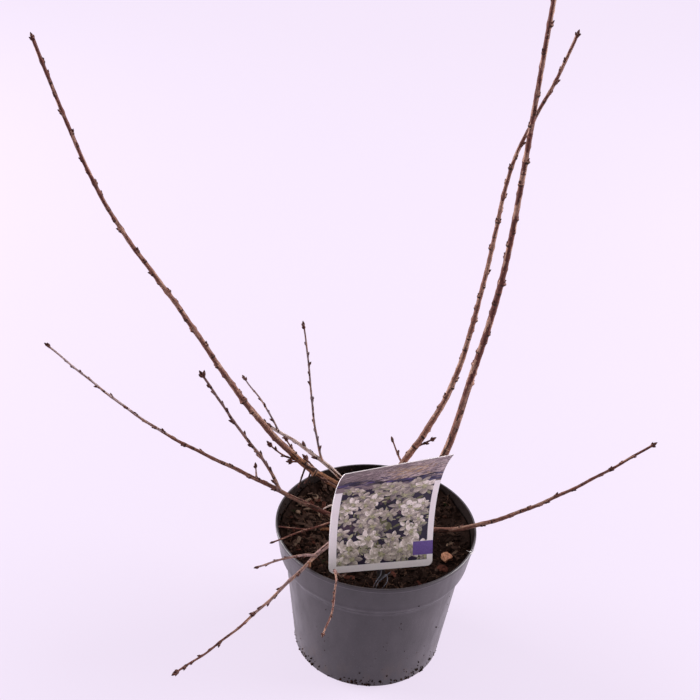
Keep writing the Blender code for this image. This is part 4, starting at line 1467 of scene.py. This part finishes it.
def draw_picture(sheet):
    """Creamy flowers, some above the picture's top, over leaves on a dark violet ground."""
    dice = random.Random("label picture")
    left, right, bottom, top = PICTURE
    sheet.area(left, right, bottom, top, "ink_violet")

    def anywhere(inset, over=0):
        return dice.uniform(left + inset, right - inset), dice.uniform(bottom + inset, top + over)
    for _ in range(DARK_BLOTS):
        x, y = anywhere(3 * MM, -4 * MM)
        ink = dice.choice(("ink_navy", "ink_navy", "ink_plum", "ink_moss"))
        sheet.blot(x, y, dice.uniform(2, 5) * MM, dice.uniform(0.6, 1.4), ink, dice)
    for _ in range(LEAVES):
        x, y = anywhere(2 * MM, -3 * MM)
        sheet.blade(x, y, dice.uniform(0, 6.3), dice.uniform(4, 8) * MM, dice.uniform(1.5, 3) * MM,
                    dice.choice(("ink_moss", "ink_moss", "ink_leaf", "ink_lime")))
    for count, low, high, tones in FLOWERS:
        taken = []
        for _ in range(count):
            radius = dice.uniform(low, high) * MM
            x, y = anywhere(1 * MM, 2 * MM)
            if all(hypot(x - other, y - up) > 0.72 * radius for other, up in taken):
                taken.append((x, y))
                draw_flower(sheet, x, y, radius, tones, dice)
        for _ in range(LEAVES_OVER):
            x, y = anywhere(2 * MM)
            sheet.blade(x, y, dice.uniform(0, 6.3), dice.uniform(2.5, 5) * MM, dice.uniform(0.8, 1.8) * MM,
                        dice.choice(("ink_moss", "ink_leaf", "ink_lime", "ink_sage")))


def draw_band(sheet):
    """The top of the card: a dark strip under a rippled grey-lilac band with an ochre glow."""
    dice = random.Random("label band")
    left = -0.5 * LABEL_WIDTH + 0.05 * MM
    right = 0.5 * LABEL_WIDTH - 0.05 * MM
    top = LABEL_LENGTH - 0.05 * MM
    foot = PICTURE[3] - 0.1 * MM
    sheet.area(left, right, foot, top, "ink_lilac")

    def ripple(x, y, length, width, slope, ink):
        def place(s, t):
            across = between(x + length * (s - 0.5), left, right)
            up = y + slope * length * (s - 0.5) + width * (t - 0.5) * sin(pi * (0.05 + 0.9 * s))
            return across, between(up, foot, top)
        sheet.shape((x, y), 0.5 * length, place, 4, 1, ink)
    for _ in range(BAND_RIPPLES):
        x = dice.uniform(left, right)
        y = dice.uniform(foot + 8 * MM, top - 0.4 * MM)
        glow = bell(x - 1.4 * CM, 1.6 * CM) * bell(y - 10.9 * CM, 1.0 * CM)
        drift = noise.noise(Vector((x, y, 0)) / (14 * MM))
        light = between(0.45 + 0.7 * drift + 0.1 * x / CM, 0.05, 0.95)
        if dice.random() < glow:
            ink = dice.choice(("ink_ochre", "ink_warm", "ink_ochre"))
        else:
            ink = dice.choices(("ink_haze", "ink_lilac", "ink_slate"), (light, 0.25, 1 - light))[0]
        ripple(x, y, dice.uniform(1.5, 6) * MM, dice.uniform(0.4, 1.1) * MM, dice.uniform(0.05, 0.75), ink)
    for _ in range(STRIP_RIPPLES):
        x = dice.uniform(left, right)
        y = STRIP_HEIGHT - STRIP_TILT * x + dice.gauss(0, 3.0) * MM
        ink = dice.choices(("ink_indigo", "ink_navy", "ink_slate", "ink_chip"), (5, 3, 2, 0.7))[0]
        ripple(x, y, dice.uniform(5, 13) * MM, dice.uniform(0.8, 2.2) * MM, dice.uniform(-0.1, 0.2), ink)


def draw_border(sheet):
    """The white border that frames the picture, and the plain purple chip on it."""
    left, right, bottom, top = PICTURE
    half = 0.5 * LABEL_WIDTH - 0.02 * MM
    sheet.area(-half, left, LABEL_CORNER, top, "label_card")
    sheet.area(right, half, LABEL_CORNER, top, "label_card")

    def low(s, t):
        across = half * (2 * s - 1)
        edge = card_foot(across, half) + 0.02 * MM
        return across, edge + (bottom - edge) * t
    sheet.shape((0, 0.5 * bottom), half, low, 80, 3, "label_card")
    for side, edge in ((-1, left), (1, right)):
        sheet.area(min(side * half, edge), max(side * half, edge), bottom, LABEL_CORNER, "label_card")
    sheet.area(CHIP[0], half, CHIP[2], CHIP[3], "ink_chip")


def build_print():
    inks = [name for name in FINISHES if name.startswith("ink_")] + ["label_card"]
    sheet = Print(inks)
    draw_band(sheet)
    draw_picture(sheet)
    draw_border(sheet)
    show_skin("label_print", sheet.skin, inks, "label_card", outward=False)


# -- studio

ROOM_COLOUR = (0.95, 0.87, 0.97)
ROOM_LIGHT = 0.2
HORIZON_LIGHT = 0.87               # the room is brighter low down, where it meets the floor
HORIZON_FOOT = 0.02
HORIZON_RISE = 0.22
SKY_COLOUR = (1.0, 0.95, 0.98)
SKY_LIGHT = 1.0
SKY_SPREAD = 110
SKY_LEAN = (-15, -8)               # turned about X and about Y, so it comes from behind
SIDE_LIGHT = 101.2
SIDE_LIGHTS = (("left", (-1.8, 0.55, 0.6)), ("right", (1.8, 0.4, 0.6)))
SIDE_AIM = (0, 0, 0.15)
SIDE_BOX = (1.3, 1.6)
FLOOR_COLOUR = (0.105, 0.093, 0.111)
FLOOR_GLOW = (0.73, 0.648, 0.775)  # it is a light table, which keeps the shadows faint
FLOOR_FALL = ((0.2, 1.0), (2.2, 1.12))    # its glow grows from the first distance to the second
FLOOR_RADII = (12.0, 3.0, 1.0, 0.3)
FLOOR_SIDES = 96


def build_floor():
    """A round floor, of rings of faces round a middle one."""
    skin = Skin()
    for radius in FLOOR_RADII:
        skin.points.extend(flat_ring(radius, 0, FLOOR_SIDES))
    for i in range(len(FLOOR_RADII) - 1):
        for k in range(FLOOR_SIDES):
            first = i * FLOOR_SIDES
            after = (k + 1) % FLOOR_SIDES
            skin.face((first + k, first + after,
                       first + FLOOR_SIDES + after, first + FLOOR_SIDES + k))
    inner = (len(FLOOR_RADII) - 1) * FLOOR_SIDES
    skin.face(tuple(range(inner, inner + FLOOR_SIDES)))
    floor = place_object("floor", make_mesh("floor", skin, ("floor_paper",), outward=False))


def light_studio():
    """A broad soft sky of light overhead, soft boxes at the sides, and a room brightest low down."""
    scene = bpy.context.scene
    scene.view_settings.view_transform = "Standard"
    world = bpy.data.worlds.new("studio")
    world.use_nodes = True
    tree = world.node_tree
    room = tree.nodes["Background"].inputs
    room["Color"].default_value = (*ROOM_COLOUR, 1)
    way = add_node(tree, "TexCoord", {}).outputs["Generated"]
    rise = add_node(tree, "SeparateXYZ", {"Vector": way}).outputs["Z"]
    fade = add_node(tree, "MapRange", {"Value": rise, "From Min": HORIZON_FOOT,
                                       "From Max": HORIZON_RISE, "To Min": HORIZON_LIGHT,
                                       "To Max": ROOM_LIGHT})
    tree.links.new(fade.outputs["Result"], room["Strength"])
    scene.world = world
    sky = bpy.data.lights.new("overhead", "SUN")
    sky.angle = radians(SKY_SPREAD)
    sky.energy = SKY_LIGHT
    sky.color = SKY_COLOUR
    above = place_object("overhead", sky)
    above.rotation_euler = (radians(SKY_LEAN[0]), radians(SKY_LEAN[1]), 0)
    for name, place in SIDE_LIGHTS:
        lamp = bpy.data.lights.new(name, "AREA")
        lamp.shape = "RECTANGLE"
        lamp.size, lamp.size_y = SIDE_BOX
        lamp.energy = SIDE_LIGHT
        box = place_object(name, lamp)
        box.location = place
        box.rotation_euler = (Vector(SIDE_AIM) - Vector(place)).to_track_quat("-Z", "Y").to_euler()
        box.visible_camera = False


def add_camera():
    """The photo's camera, which looks a little down and is rolled a little."""
    pitch = radians(CAMERA_PITCH)
    roll = radians(CAMERA_ROLL)
    ahead = Vector((0, cos(pitch), -sin(pitch)))
    right = Vector((1, 0, 0))
    above = Vector((0, sin(pitch), cos(pitch)))
    rolled_right = right * cos(roll) + above * sin(roll)
    rolled_above = above * cos(roll) - right * sin(roll)
    lens = bpy.data.cameras.new("camera")
    lens.sensor_width = SENSOR
    lens.lens = SENSOR * FOCAL_PIXELS / FRAME_PIXELS
    camera = place_object("camera", lens)
    camera.matrix_world = (Matrix.Translation(CAMERA_PLACE)
                           @ Matrix((rolled_right, rolled_above, -ahead)).transposed().to_4x4())
    bpy.context.scene.camera = camera


FINISHES = make_finishes()

add_camera()
light_studio()
build_floor()
stems = {name: build_stem(name) for name in STEMS}
build_trunk(stems)
build_pot()
build_compost()
build_bits()
build_clinging_bits()
build_card()
build_print()
